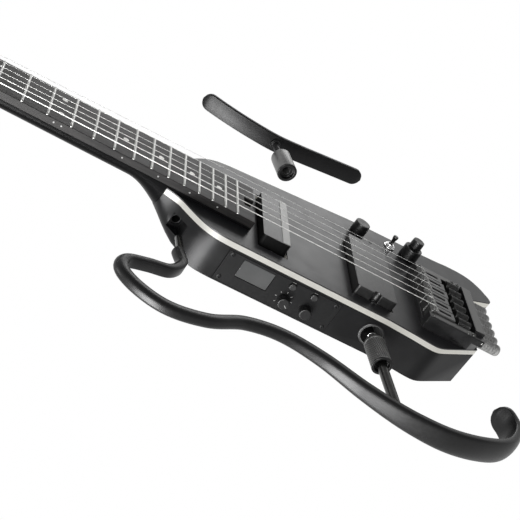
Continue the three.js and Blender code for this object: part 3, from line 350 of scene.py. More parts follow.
class Drive(Enum):
    """Recess in a screw's head."""

    CROSS = "cross"
    HEX = "hex"


def screw_head(
    centre: np.ndarray, direction: np.ndarray, radius: float, rise: float, drive: Drive
) -> Skin:
    """A domed head on a polar grid: height = rise * (0.55 + 0.45 (1 - r^4)) minus the recess,
    a cross or a hexagon with soft walls; the last rings go straight down and close underneath.

    Args:
        centre: middle of the seat.
        direction: the way the head faces.
        radius: radius of the head.
        rise: height of the dome.
        drive: shape of the recess.
    Returns:
        The closed head.
    """
    axis = direction / np.linalg.norm(direction)
    side, other = across(axis)
    angle = np.linspace(0, 2 * math.pi, SCREW_STEPS, endpoint=False)[None, :]
    r = np.linspace(0, 1, 22)[:, None]
    u, v = r * np.cos(angle), r * np.sin(angle)
    hexagon, arm, arm_half, soft_wall, recess = 0.5, 0.62, 0.15, 0.12, 0.7
    if drive is Drive.HEX:
        sector = np.mod(angle + math.pi / 6, math.pi / 3) - math.pi / 6
        inside = hexagon - r * np.cos(sector)
    else:
        arm_u = np.minimum(arm_half - np.abs(v), arm - np.abs(u))
        arm_v = np.minimum(arm_half - np.abs(u), arm - np.abs(v))
        inside = np.maximum(arm_u, arm_v)
    depth = np.clip(inside / soft_wall + 0.5, 0, 1) * recess * rise
    height = rise * (0.55 + 0.45 * (1 - r**4)) - depth
    wall_r = np.array([[1.0], [0.9], [0.0]]) * np.ones_like(angle)
    wall_h = np.array([[-0.3], [-0.4], [-0.4]]) * rise * np.ones_like(angle)
    full_r = np.vstack([r * np.ones_like(angle), wall_r]) * radius
    full_h = np.vstack([height, wall_h])
    ring = np.cos(angle)[..., None] * side + np.sin(angle)[..., None] * other
    points = centre + full_h[..., None] * axis + full_r[..., None] * ring
    return Skin(points.reshape(-1, 3), grid_quads(full_r.shape[0], SCREW_STEPS))


def smooth_curve(points: np.ndarray, count: int) -> np.ndarray:
    """A centripetal curve through points: on each stretch the cubic whose end slopes come from
    the neighbouring points, spaced by the square root of their distances; then evenly spaced.

    Args:
        points: the points in order, shaped (n, 2).
        count: number of points on the result.
    Returns:
        Evenly spaced points, shaped (count, 2).
    """
    first = 2 * points[0] - points[1]
    last = 2 * points[-1] - points[-2]
    p = np.vstack([first, points, last])
    gap = np.sqrt(np.linalg.norm(np.diff(p, axis=0), axis=1))[:, None]
    d0, d1, d2 = gap[:-2], gap[1:-1], gap[2:]
    a, b, c, d = p[:-3], p[1:-2], p[2:-1], p[3:]
    slope_b = ((b - a) / d0 - (c - a) / (d0 + d1) + (c - b) / d1) * d1
    slope_c = ((c - b) / d1 - (d - b) / (d1 + d2) + (d - c) / d2) * d1
    t = np.linspace(0, 1, 500, endpoint=False)[None, :, None]
    b, c, slope_b, slope_c = (q[:, None, :] for q in (b, c, slope_b, slope_c))
    curve = (
        b * (2 * t**3 - 3 * t**2 + 1) + slope_b * (t**3 - 2 * t**2 + t)
        + c * (-2 * t**3 + 3 * t**2) + slope_c * (t**3 - t**2)
    ).reshape(-1, 2)
    curve = np.vstack([curve, points[-1:]])
    lengths = np.concatenate([[0], np.cumsum(np.linalg.norm(np.diff(curve, axis=0), axis=1))])
    wanted = np.linspace(0, lengths[-1], count)
    return np.stack([np.interp(wanted, lengths, curve[:, i]) for i in (0, 1)], axis=1)


# Finishes


def tint(code: str) -> tuple[float, float, float, float]:
    """A screen colour such as #808080 as linear light.

    Args:
        code: the colour.
    Returns:
        Red, green, blue and 1.
    """
    parts = [int(code[i : i + 2], 16) / 255 for i in (1, 3, 5)]
    linear = [p / 12.92 if p <= 0.04045 else ((p + 0.055) / 1.055) ** 2.4 for p in parts]
    return (linear[0], linear[1], linear[2], 1.0)


class Pattern(Enum):
    """How a finish varies over its surface."""

    MOTTLE = "soft mottle"
    GRAIN = "long timber grain"
    BRUSHED = "fine drawn lines"
    WOUND = "wound wire"


@dataclass(frozen=True)
class PatternGroup:
    """A shader node group that turns a place into a mask and a height."""

    pattern: Pattern

    def build(self) -> bpy.types.ShaderNodeTree:
        """The group, built once and found again by its name.

        Returns:
            The group with Vector, Scale and Stretch in and Mask and Height out.
        """
        found = bpy.data.node_groups.get(self.pattern.value)
        if found:
            return found
        tree = bpy.data.node_groups.new(self.pattern.value, "ShaderNodeTree")
        tree.interface.new_socket("Vector", in_out="INPUT", socket_type="NodeSocketVector")
        tree.interface.new_socket("Scale", in_out="INPUT", socket_type="NodeSocketFloat")
        tree.interface.new_socket("Stretch", in_out="INPUT", socket_type="NodeSocketVector")
        tree.interface.new_socket("Mask", in_out="OUTPUT", socket_type="NodeSocketFloat")
        tree.interface.new_socket("Height", in_out="OUTPUT", socket_type="NodeSocketFloat")
        entry = tree.nodes.new("NodeGroupInput")
        leave = tree.nodes.new("NodeGroupOutput")
        drawn = tree.nodes.new("ShaderNodeVectorMath")
        drawn.operation = "MULTIPLY"
        tree.links.new(entry.outputs["Vector"], drawn.inputs[0])
        tree.links.new(entry.outputs["Stretch"], drawn.inputs[1])
        broad = tree.nodes.new("ShaderNodeTexNoise")
        broad.inputs["Detail"].default_value = 5.0
        broad.inputs["Roughness"].default_value = 0.6
        tree.links.new(drawn.outputs["Vector"], broad.inputs["Vector"])
        tree.links.new(entry.outputs["Scale"], broad.inputs["Scale"])
        finer = tree.nodes.new("ShaderNodeMath")
        finer.operation = "MULTIPLY"
        finer.inputs[1].default_value = 7.0
        tree.links.new(entry.outputs["Scale"], finer.inputs[0])
        if self.pattern is Pattern.WOUND:
            fine = tree.nodes.new("ShaderNodeTexWave")
            fine.bands_direction = "X"
        else:
            fine = tree.nodes.new("ShaderNodeTexNoise")
            fine.inputs["Detail"].default_value = 3.0
        if self.pattern is Pattern.GRAIN:
            broad.inputs["Distortion"].default_value = 0.5
        tree.links.new(drawn.outputs["Vector"], fine.inputs["Vector"])
        tree.links.new(finer.outputs["Value"], fine.inputs["Scale"])
        clear = tree.nodes.new("ShaderNodeMapRange")
        clear.inputs["From Min"].default_value = 0.3
        clear.inputs["From Max"].default_value = 0.7
        tree.links.new(broad.outputs["Fac"], clear.inputs["Value"])
        tree.links.new(clear.outputs["Result"], leave.inputs["Mask"])
        tree.links.new(fine.outputs["Fac"], leave.inputs["Height"])
        return tree


@dataclass(frozen=True)
class Finish:
    """One material: two near colours mixed by a pattern, with varying gloss and fine relief, and
    painted shade in grooves where grooves is set.
    """

    name: str
    slot: str
    colour: str
    second: str
    gloss: tuple[float, float]
    metal: float = 0.0
    pattern: Pattern = Pattern.MOTTLE
    scale: float = 180.0
    stretch: tuple[float, float, float] = (1.0, 1.0, 1.0)
    relief: float = 0.1
    coat: float = 0.0
    specular: float = 0.5
    # grooves: how much painted shade darkens the bottoms of grooves, 0 for none.
    grooves: float = 0.0

    def build(self) -> bpy.types.Material:
        """The material, made once and found again by its name.

        Returns:
            The material.
        """
        found = bpy.data.materials.get(self.name)
        if found:
            return found
        material = bpy.data.materials.new(self.name)
        material.use_nodes = True
        nodes, links = material.node_tree.nodes, material.node_tree.links
        shader = nodes["Principled BSDF"]
        shader.inputs["Metallic"].default_value = self.metal
        shader.inputs["Coat Weight"].default_value = self.coat
        shader.inputs["Coat Roughness"].default_value = 0.12
        shader.inputs["Specular IOR Level"].default_value = self.specular
        coords = nodes.new("ShaderNodeTexCoord")
        group = nodes.new("ShaderNodeGroup")
        group.node_tree = PatternGroup(self.pattern).build()
        group.inputs["Scale"].default_value = self.scale
        group.inputs["Stretch"].default_value = self.stretch
        links.new(coords.outputs["Object"], group.inputs["Vector"])
        mix = nodes.new("ShaderNodeMix")
        mix.data_type = "RGBA"
        mix.inputs[6].default_value = tint(self.colour)
        mix.inputs[7].default_value = tint(self.second)
        links.new(group.outputs["Mask"], mix.inputs[0])
        colour = mix.outputs[2]
        # Painted shade: the colour darkens towards the bottoms of grooves.
        if self.grooves:
            colour = self.painted_groove_shade(material.node_tree, colour)
        links.new(colour, shader.inputs["Base Color"])
        gloss = nodes.new("ShaderNodeMapRange")
        gloss.inputs["To Min"].default_value = self.gloss[0]
        gloss.inputs["To Max"].default_value = self.gloss[1]
        links.new(group.outputs["Mask"], gloss.inputs["Value"])
        links.new(gloss.outputs["Result"], shader.inputs["Roughness"])
        bump = nodes.new("ShaderNodeBump")
        bump.inputs["Strength"].default_value = self.relief
        bump.inputs["Distance"].default_value = 0.0001
        links.new(group.outputs["Height"], bump.inputs["Height"])
        links.new(bump.outputs["Normal"], shader.inputs["Normal"])
        return material

    def painted_groove_shade(
        self, tree: bpy.types.NodeTree, colour: bpy.types.NodeSocket
    ) -> bpy.types.NodeSocket:
        """The colour with painted shade: darker towards the bottoms of the piece's grooves.

        Args:
            tree: the material's nodes.
            colour: the colour on the ridges.
        Returns:
            The socket of the result.
        """
        depth = tree.nodes.new("ShaderNodeAttribute")
        depth.attribute_name = "groove"
        share = tree.nodes.new("ShaderNodeMapRange")
        share.inputs["To Max"].default_value = self.grooves
        tree.links.new(depth.outputs["Fac"], share.inputs["Value"])
        dark = tree.nodes.new("ShaderNodeMix")
        dark.data_type = "RGBA"
        dark.inputs[7].default_value = (0.002, 0.002, 0.002, 1)
        tree.links.new(share.outputs["Result"], dark.inputs[0])
        tree.links.new(colour, dark.inputs[6])
        return dark.outputs[2]


LACQUER = Finish(
    "satin black lacquer", "satin_black", "#121213", "#17171a", (0.33, 0.4), scale=60.0,
    relief=0.03, specular=0.3,
)
# A copy of the black lacquer for the body's sides, darker and less reflective than the cap's:
# painted shade on the sides.
SHADED_SIDE_LACQUER = Finish(
    "satin black edges", "satin_black", "#101011", "#141416", (0.34, 0.4), scale=60.0,
    relief=0.02, specular=0.11,
)
ACCENT = Finish("warm white layer", "accent_white", "#f1efe6", "#ebe8de", (0.4, 0.5), scale=90.0)
NECK_BLACK = Finish(
    "satin black neck", "satin_black", "#101011", "#151516", (0.24, 0.3), scale=70.0,
    relief=0.02, specular=0.03,
)
TIMBER = Finish(
    "dark fingerboard timber", "dark_wood", "#181717", "#262322", (0.36, 0.5),
    pattern=Pattern.GRAIN, scale=420.0, stretch=(0.07, 1.0, 1.0), relief=0.2, specular=0.12,
)
POWDER = Finish(
    "satin black coat on metal", "black_metal", "#0d0d0e", "#121213", (0.34, 0.4), scale=300.0,
    relief=0.005, specular=0.22,
)
LEG_COAT = Finish(
    "satin black leg rest", "black_metal", "#0d0d0e", "#121213", (0.34, 0.4), scale=300.0,
    relief=0.005, specular=0.11,
)
PLATED = Finish(
    "polished dark plating", "black_metal", "#383838", "#414140", (0.2, 0.26), metal=0.9,
    scale=260.0, relief=0.02,
)
BRIDGE_BLACK = Finish(
    "black plated bridge", "black_metal", "#1c1c1d", "#242425", (0.26, 0.36), metal=0.4,
    scale=160.0, relief=0.05,
)
# Its grooves carry painted shade.
GUNMETAL = Finish(
    "dark turned steel", "gunmetal", "#646464", "#70706f", (0.34, 0.44), metal=0.9, scale=260.0,
    grooves=0.95,
)
SADDLE = Finish(
    "satin saddle steel", "bright_steel", "#4c4c4c", "#585857", (0.34, 0.46), metal=1.0, scale=300.0
)
RAIL = Finish(
    "satin grey plates", "black_metal", "#4e4e4d", "#595958", (0.36, 0.46), metal=0.9, scale=260.0
)
# Its grooves carry painted shade, which makes the knurled knobs look darker.
KNOB_METAL = Finish(
    "dark knurled knobs", "gunmetal", "#8a8a89", "#969695", (0.36, 0.46), metal=0.85, scale=420.0,
    relief=0.3, grooves=0.85,
)
# Its grooves carry painted shade.
RIBBED = Finish(
    "black ribbed barrels", "black_metal", "#1f1f1f", "#272726", (0.32, 0.4), metal=0.6,
    scale=260.0, grooves=0.95,
)
STEEL = Finish(
    "drawn steel", "bright_steel", "#d6d6d4", "#e2e2e0", (0.26, 0.36), metal=1.0,
    pattern=Pattern.BRUSHED, scale=500.0, stretch=(0.05, 1.0, 1.0),
)
WOUND = Finish(
    "wound string steel", "bright_steel", "#a0a09e", "#aeaeac", (0.4, 0.5), metal=1.0,
    pattern=Pattern.WOUND, scale=220.0, relief=0.1,
)
FRET = Finish("fret wire", "bright_steel", "#8c8c8a", "#9a9a98", (0.3, 0.4), metal=1.0, scale=300.0)
PICKUP_BAR = Finish(
    "frosted pickup bar", "bright_steel", "#7c7c7b", "#868685", (0.4, 0.5), metal=0.9,
    pattern=Pattern.BRUSHED, scale=500.0, stretch=(1.0, 0.05, 1.0),
)
CHROME = Finish(
    "polished trim", "chrome_trim", "#c9c9c9", "#dcdcdc", (0.18, 0.26), metal=1.0, scale=200.0
)
MOULDED = Finish(
    "moulded black", "moulded_black", "#101010", "#151515", (0.3, 0.4), scale=500.0, relief=0.1,
    specular=0.4,
)
# A darker, duller copy of the moulded black for the neck pickup's sides: painted shade on the
# sides.
SHADED_SIDES_BLACK = Finish(
    "dull moulded sides", "moulded_black", "#0b0b0b", "#101010", (0.45, 0.55), scale=500.0,
    relief=0.05, specular=0.06,
)
PANEL = Finish(
    "charcoal panel", "moulded_black", "#121213", "#171718", (0.42, 0.5), scale=500.0, relief=0.05,
    specular=0.1,
)
SCREEN = Finish(
    "grey display window", "screen_grey", "#6e6f6f", "#757676", (0.28, 0.34), scale=80.0,
    relief=0.0, specular=0.2,
)
PEARL = Finish(
    "pearl inlay", "accent_white", "#a9a8a3", "#c6c4be", (0.25, 0.4), scale=320.0, coat=0.2
)
INK = Finish("pale printed marks", "accent_white", "#b4b4b2", "#c4c4c2", (0.45, 0.55), scale=400.0)
# Near black, darker than the other blacks: painted shade in the face's hole and in the rear arm
# socket's cup.
HOLLOW_SHADE = Finish("dark hollow", "moulded_black", "#070707", "#0b0b0b", (0.6, 0.8), scale=300.0)
CIRCUIT = Finish(
    "green circuit sheet", "circuit_green", "#1e5238", "#27633f", (0.4, 0.5), scale=250.0
)
CELL = Finish("blue battery wrap", "battery_blue", "#3c5a86", "#46658f", (0.3, 0.4), scale=150.0)


# Making pieces of the object out of surfaces


@dataclass
class Bench:
    """Where pieces are made, dressed and set on their bodies."""

    frame: dict

    def mesh_of(self, name: str, skin: Skin, crease: float) -> bpy.types.Object:
        """A surface as an object at the origin, its doubles merged and its faces turned out.

        Args:
            name: the piece's name.
            skin: the surface in millimetres.
            crease: angle in degrees over which an edge stays sharp.
        Returns:
            The object.
        """
        mesh = bpy.data.meshes.new(name)
        faces = skin.quads.tolist() + [list(cap) for cap in skin.caps]
        mesh.from_pydata((skin.points * MM).tolist(), [], faces)
        # The groove depth goes on the mesh, where grooved finishes read it to paint shade.
        if skin.groove is not None:
            mesh.attributes.new("groove", "FLOAT", "POINT").data.foreach_set("value", skin.groove)
        self.tidy(mesh, crease)
        piece = bpy.data.objects.new(name, mesh)
        bpy.context.scene.collection.objects.link(piece)
        return piece

    def tidy(self, mesh: bpy.types.Mesh, crease: float, flat: bool = False) -> None:
        """Merges doubles, turns faces out and shades smoothly up to an angle.

        Args:
            mesh: the mesh.
            crease: angle in degrees over which an edge stays sharp.
            flat: whether faces in one plane are joined.
        """
        shape = bmesh.new()
        shape.from_mesh(mesh)
        bmesh.ops.remove_doubles(shape, verts=shape.verts, dist=2e-6)
        if flat:
            bmesh.ops.dissolve_limit(
                shape, angle_limit=math.radians(0.8), verts=shape.verts, edges=shape.edges
            )
        bmesh.ops.recalc_face_normals(shape, faces=shape.faces)
        shape.to_mesh(mesh)
        shape.free()
        mesh.shade_smooth()
        mesh.set_sharp_from_angle(angle=math.radians(crease))

    def bevel(
        self, piece: bpy.types.Object, width: float, segments: int = 3, angle: float = 30
    ) -> None:
        """Rounds a piece's sharp edges.

        Args:
            piece: the object.
            width: width of the rounding in millimetres.
            segments: faces across the rounding.
            angle: edges that turn more than this, in degrees, are rounded.
        """
        rounding = piece.modifiers.new("rounded edges", "BEVEL")
        rounding.width = width * MM
        rounding.segments = segments
        rounding.limit_method = "ANGLE"
        rounding.angle_limit = math.radians(angle)
        rounding.harden_normals = True

    def set_on(
        self, piece: bpy.types.Object, finish: Finish, body: str = "guitar",
        nodes: tuple[str, ...] = (),
    ) -> bpy.types.Object:
        """Gives a piece its finish, its body and the nodes that it stands for.

        Args:
            piece: the object.
            finish: its finish.
            body: the body it rides on.
            nodes: the nodes it stands for.
        Returns:
            The piece.
        """
        piece.data.materials.clear()
        piece.data.materials.append(finish.build())
        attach(piece, body)
        if nodes:
            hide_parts(*nodes)
        return piece

    def piece(
        self, name: str, skin: Skin, finish: Finish, body: str = "guitar",
        nodes: tuple[str, ...] = (), crease: float = 35, bevel: float = 0.0,
    ) -> bpy.types.Object:
        """A finished piece from a surface.

        Args:
            name: its name.
            skin: the surface in millimetres.
            finish: its finish.
            body: the body it rides on.
            nodes: the nodes it stands for.
            crease: angle in degrees over which an edge stays sharp.
            bevel: width in millimetres of rounded edges, or 0.
        Returns:
            The object.
        """
        made = self.mesh_of(name, skin, crease)
        if bevel:
            self.bevel(made, bevel)
        return self.set_on(made, finish, body, nodes)

    def dressed(
        self, node: str, name: str, finish: Finish, body: str = "guitar",
        width: float = 0.4, angle: float = 30,
    ) -> bpy.types.Object:
        """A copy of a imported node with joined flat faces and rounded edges, standing for it.

        Args:
            node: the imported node.
            name: the piece's name.
            finish: its finish.
            body: the body it rides on.
            width: width of the rounding in millimetres.
            angle: edges that turn more than this, in degrees, are rounded.
        Returns:
            The object.
        """
        mesh = self.frame["nodes"][node].data.copy()
        mesh.name = name
        self.tidy(mesh, angle, flat=True)
        piece = bpy.data.objects.new(name, mesh)
        bpy.context.scene.collection.objects.link(piece)
        self.bevel(piece, width, 2, angle)
        return self.set_on(piece, finish, body, (node,))

    def paint(self, node: str, finish: Finish) -> None:
        """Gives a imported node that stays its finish.

        Args:
            node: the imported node.
            finish: its finish.
        """
        data = self.frame["nodes"][node].data
        data.materials.clear()
        data.materials.append(finish.build())


# Sub-assemblies


@dataclass(frozen=True)
class Shell:
    """Body: dark timber core, pale layer and dark cap, with the rear cover."""

    edge: float = 0.8
    cap_edge: float = 0.3
    hole: tuple[float, float] = (-38.2, 60.7)
    hole_radius: float = 1.5
    shoulder: tuple[tuple[float, float], ...] = (
        (-219.8, -29.25), (-212.5, -35.7), (-205.4, -42.15), (-197.8, -47.7), (-187.8, -51.75),
        (-176.0, -53.0), (-166.0, -53.0),
    )
    shoulder_run: tuple[float, float] = (-206.0, -174.3)
    shoulder_height: tuple[float, float] = (0.9, 30.9)

    def shoulder_skin(self) -> Skin:
        """Thin sheet over the bass shoulder: the outline's smooth curve between two x, pushed out
        by 0.1 sin(pi t) - 0.02, where t runs from 0 to 1 along it, with its back inside the core.

        Returns:
            The sheet.
        """
        curve = smooth_curve(np.array(self.shoulder), 240)
        low, high = self.shoulder_run
        curve = curve[(curve[:, 0] >= low) & (curve[:, 0] <= high)]
        slope = np.gradient(curve, axis=0)
        slope = slope / np.linalg.norm(slope, axis=1, keepdims=True)
        out = np.stack([slope[:, 1], -slope[:, 0]], axis=1)
        proud = 0.1 * np.sin(np.linspace(0, math.pi, len(curve)))[:, None] - 0.02
        outline = np.vstack([curve + proud * out, (curve - out)[::-1]])
        return prism(outline, *self.shoulder_height)

    def build(self, bench: Bench) -> None:
        """Makes the body's pieces.

        Args:
            bench: where they are made.
        """
        # The core's sides and the shoulder sheet carry painted shade through their darker lacquer
        # copy.
        bench.dressed("body_core", "core", SHADED_SIDE_LACQUER, width=self.edge, angle=35)
        bench.dressed("accent_layer", "pale_layer", ACCENT, width=0.15, angle=35)
        bench.dressed("top_cap", "cap", LACQUER, width=self.cap_edge, angle=35)
        bench.dressed("rear_cover", "back_cover", MOULDED, width=0.4)
        # The hole is drawn as a dark plug a hair proud of the face: painted shade standing for its
        # inside.
        spot = turned(
            np.array([[0, -0.6], [self.hole_radius, -0.6], [self.hole_radius, 0.06], [0, 0.02]]),
            np.array([*self.hole, BODY_TOP]), UP, 32,
        )
        bench.piece("face_hole", spot, HOLLOW_SHADE)
        bench.piece("shoulder_skin", self.shoulder_skin(), SHADED_SIDE_LACQUER)
        for node, finish in (
            ("truss_rod", BRIDGE_BLACK), ("circuit_board", CIRCUIT), ("pot_board", CIRCUIT),
            ("battery", CELL),
        ):
            bench.paint(node, finish)


@dataclass(frozen=True)
class Neck:
    """Neck, fingerboard, frets, inlays, nut and headpiece."""

    scale: float = 628.0
    nut_width: float = 42.6
    end_width: float = 53.8
    board_end: float = -161.03
    rear: float = -656.3
    nose: float = -231.95
    sweep: tuple[float, float] = (-262.0, -206.0)
    depths: tuple[float, float] = (12.3, 13.5)
    neck_top: float = 39.0
    board_top: float = 45.0
    tenon_end: float = -166.0
    tenon_floor: float = 23.5
    tenon_half: float = 16.0
    wheel_start: float = -169.83
    wheel_half: float = 4.8
    slot_half: float = 5.8
    fret_width: float = 2.3
    fret_height: float = 1.0
    frets: int = 22
    dot: float = 2.3
    side_dot: float = 0.65
    side_dot_rise: float = 3.2
    dots: tuple[int, ...] = (3, 5, 7, 9, 15, 17, 19, 21)
    double: int = 12
    double_spread: float = 12.0
    side_double_spread: float = 3.0
    roundness: float = 2.2
    neck_inset: float = 0.4
    fret_inset: float = 0.35
    fret_round: float = 1.3
    fret_root: float = 0.4

    def half(self, x: np.ndarray) -> np.ndarray:
        """Half the board's width at x: it grows evenly from the nut to the board's end."""
        share = np.clip((x + self.scale) / (self.board_end + self.scale), 0, 1)
        return (self.nut_width + (self.end_width - self.nut_width) * share) / 2

    def fret_x(self, n: np.ndarray) -> np.ndarray:
        """Place of fret n: the string length halves every twelve frets."""
        return -self.scale * 2.0 ** (-np.asarray(n, float) / 12)

    def blank(self) -> Skin:
        """Neck surface: at each station half a superellipse |y/h|^p + |z/d|^p = 1 hangs under a
        flat top. The depth d grows evenly along the shaft; over the heel it takes up the rest by
        3t^2 - 2t^3, where t runs from 0 to 1 over the sweep.

        Returns:
            The neck up to the body's nose.
        """
        start, end = self.sweep
        x = np.concatenate([
            np.linspace(self.rear, start, 30, endpoint=False), np.linspace(start, self.nose, 26),
        ])
        t = np.clip((x - start) / (end - start), 0, 1)
        shaft = np.interp(x, [-self.scale, start], self.depths)
        depth = shaft + (self.neck_top - self.depths[1]) * t**2 * (3 - 2 * t)
        half = self.half(x) - self.neck_inset
        angle = np.linspace(0, math.pi, 49)
        power = 2 / self.roundness
        y = -np.sign(np.cos(angle)) * np.abs(np.cos(angle)) ** power * half[:, None]
        z = self.neck_top - np.abs(np.sin(angle)) ** power * depth[:, None]
        rings = np.stack([np.broadcast_to(x[:, None], y.shape), y, z], axis=-1)
        return tube(rings)

    def tenon(self) -> Skin:
        """Block under the tongue, notched for the truss rod's wheel.

        Returns:
            The block.
        """
        half, wheel = self.tenon_half, self.wheel_half
        outline = np.array([
            [self.nose, -half], [self.tenon_end, -half], [self.tenon_end, -wheel],
            [self.wheel_start, -wheel], [self.wheel_start, wheel], [self.tenon_end, wheel],
            [self.tenon_end, half], [self.nose, half],
        ])
        return prism(outline, self.tenon_floor, BODY_TOP)

    def notched(self, start: float, inset: float, notch: float) -> np.ndarray:
        """Outline of a strip as wide as the board, notched at its end for the wheel.

        Args:
            start: where it begins.
            inset: how much narrower than the board it is on each side.
            notch: half the notch's width.
        Returns:
            Points as (x, y).
        """
        end = self.board_end
        a, b = (float(self.half(np.array(x))) - inset for x in (start, end))
        return np.array([
            [start, -a], [end, -b], [end, -notch], [self.wheel_start, -notch],
            [self.wheel_start, notch], [end, notch], [end, b], [start, a],
        ])

    def wires(self) -> Skin:
        """Frets: half an ellipse w/2 cos a, h sin a across the wire, scaled down at both ends by
        sqrt(1 - s^2), where s runs from 0 to 1 over the rounded end.

        Returns:
            All frets.
        """
        x = self.fret_x(np.arange(1, self.frets + 1))
        half = self.half(x) - self.fret_inset
        t = np.sin(np.linspace(-math.pi / 2, math.pi / 2, 33))
        y = half[:, None] * t[None, :]
        end = np.clip((np.abs(y) - (half[:, None] - self.fret_round)) / self.fret_round, 0, 1)
        scale = np.sqrt(np.clip(1 - end**2, 0.0, 1))
        angle = np.linspace(0, math.pi, 9)
        wide = self.fret_width / 2 * (0.35 + 0.65 * scale[..., None])
        px = x[:, None, None] + wide * np.cos(angle)
        pz = self.board_top + self.fret_height * np.sin(angle) * scale[..., None]
        low_x = x[:, None, None] + self.fret_width / 2 * np.array([-1.0, 1.0]) * 0.9
        px = np.concatenate([px, np.broadcast_to(low_x, (*px.shape[:2], 2))], axis=-1)
        low_z = np.full((*pz.shape[:2], 2), self.board_top - self.fret_root)
        pz = np.concatenate([pz, low_z], axis=-1)
        py = np.broadcast_to(y[..., None], px.shape)
        rings = np.stack([px, py, pz], axis=-1)
        return together([tube(one) for one in rings])

    def inlays(self) -> Skin:
        """Round dots half way between frets: shallow domes, two at the twelfth.

        Returns:
            All dots of the board's face.
        """
        profile = softened([(0, -0.4), (self.dot, -0.4), (self.dot, 0.03), (0, 0.07)], 0.05)
        spread = self.double_spread
        spots = [(n, 0.0) for n in self.dots] + [(self.double, -spread), (self.double, spread)]
        return together([
            turned(profile, np.array([self.between(n), y, self.board_top]), UP, 32)
            for n, y in spots
        ])

    def between(self, n: int) -> float:
        """Half way between fret n and the one before it."""
        return float((self.fret_x(n) + self.fret_x(n - 1)) / 2)

    def side_dots(self) -> Skin:
        """Small dots in the bass side of the board, two at the twelfth.

        Returns:
            All side dots.
        """
        profile = np.array([[0, -0.4], [self.side_dot, -0.4], [self.side_dot, 0.05], [0, 0.06]])
        spread = self.side_double_spread
        spots = [(n, 0.0) for n in self.dots] + [(self.double, -spread), (self.double, spread)]
        return together([
            turned(
                profile,
                np.array([
                    self.between(n) + shift,
                    -float(self.half(np.array(self.between(n) + shift))),
                    self.neck_top + self.side_dot_rise,
                ]),
                -TREBLE, 20,
            )
            for n, shift in spots
        ])

    def build(self, bench: Bench) -> None:
        """Makes the neck's pieces.

        Args:
            bench: where they are made.
        """
        blank = together([self.blank(), self.tenon()])
        bench.piece("neck_blank", blank, NECK_BLACK, nodes=("neck",), crease=40)
        under = self.notched(self.nose + 0.05, self.neck_inset, self.wheel_half)
        tongue = prism(under, BODY_TOP + 0.3, self.neck_top)
        bench.piece("neck_tongue", tongue, NECK_BLACK, bevel=0.15)
        outline = self.notched(-self.scale + 0.3, 0.0, self.slot_half)
        board = prism(outline, self.neck_top, self.board_top)
        bench.piece("board", board, TIMBER, nodes=("fretboard",), bevel=0.5)
        bench.piece("fret_wires", self.wires(), FRET, crease=50)
        bench.piece("inlay_dots", self.inlays(), PEARL)
        bench.piece("side_dots", self.side_dots(), INK)
        bench.dressed("nut", "string_nut", MOULDED, width=0.2)
        bench.dressed("headpiece", "string_clamp", BRIDGE_BLACK, width=0.5)


@dataclass(frozen=True)
class StringSet:
    """Six strings from the clamp over nut and saddle into the carriages."""

    nut_spacing: float = 7.0
    clamp_x: float = -645.2
    nut_x: float = -628.0
    nut_top: float = 46.4
    saddle_top: float = 52.7
    bend: Outline = ((-1.2, 0.0), (-0.4, 0.02), (0.3, -0.12), (1.0, -0.5))
    carriage_run: tuple[float, float] = (22.0, 27.6)
    carriage_level: float = 41.5
    radii: tuple[float, ...] = (0.14, 0.16, 0.19, 0.24, 0.31, 0.37)
    breaks: tuple[float, ...] = (-1.3, 0.0, 1.0, -0.6, 0.2, 0.8)
    wound_from: int = 3

    def surface(self, i: int) -> Skin:
        """A round wire r cos a, r sin a carried along straight stretches, with a bend of a few
        points over the saddle.

        Args:
            i: the string, 0 on the treble side.
        Returns:
            The wire.
        """
        y, nut_y = string_place(i, STRING_SPACING), string_place(i, self.nut_spacing)
        top = self.breaks[i]
        path = np.array([
            *([x, nut_y, self.nut_top] for x in (self.clamp_x, self.nut_x)),
            *([top + x, y, self.saddle_top + z] for x, z in self.bend),
            *([x, y, self.carriage_level] for x in self.carriage_run),
        ])
        angle = np.linspace(0, 2 * math.pi, 12, endpoint=False)
        ring = np.stack([0 * angle, np.cos(angle), np.sin(angle)], axis=-1) * self.radii[i]
        return tube(path[:, None, :] + ring[None])

    def build(self, bench: Bench) -> None:
        """Makes the strings.

        Args:
            bench: where they are made.
        """
        for i in range(STRINGS):
            finish = WOUND if i >= self.wound_from else STEEL
            nodes = (f"string_{i + 1}",)
            bench.piece(f"wire_{i + 1}", self.surface(i), finish, nodes=nodes, crease=60)


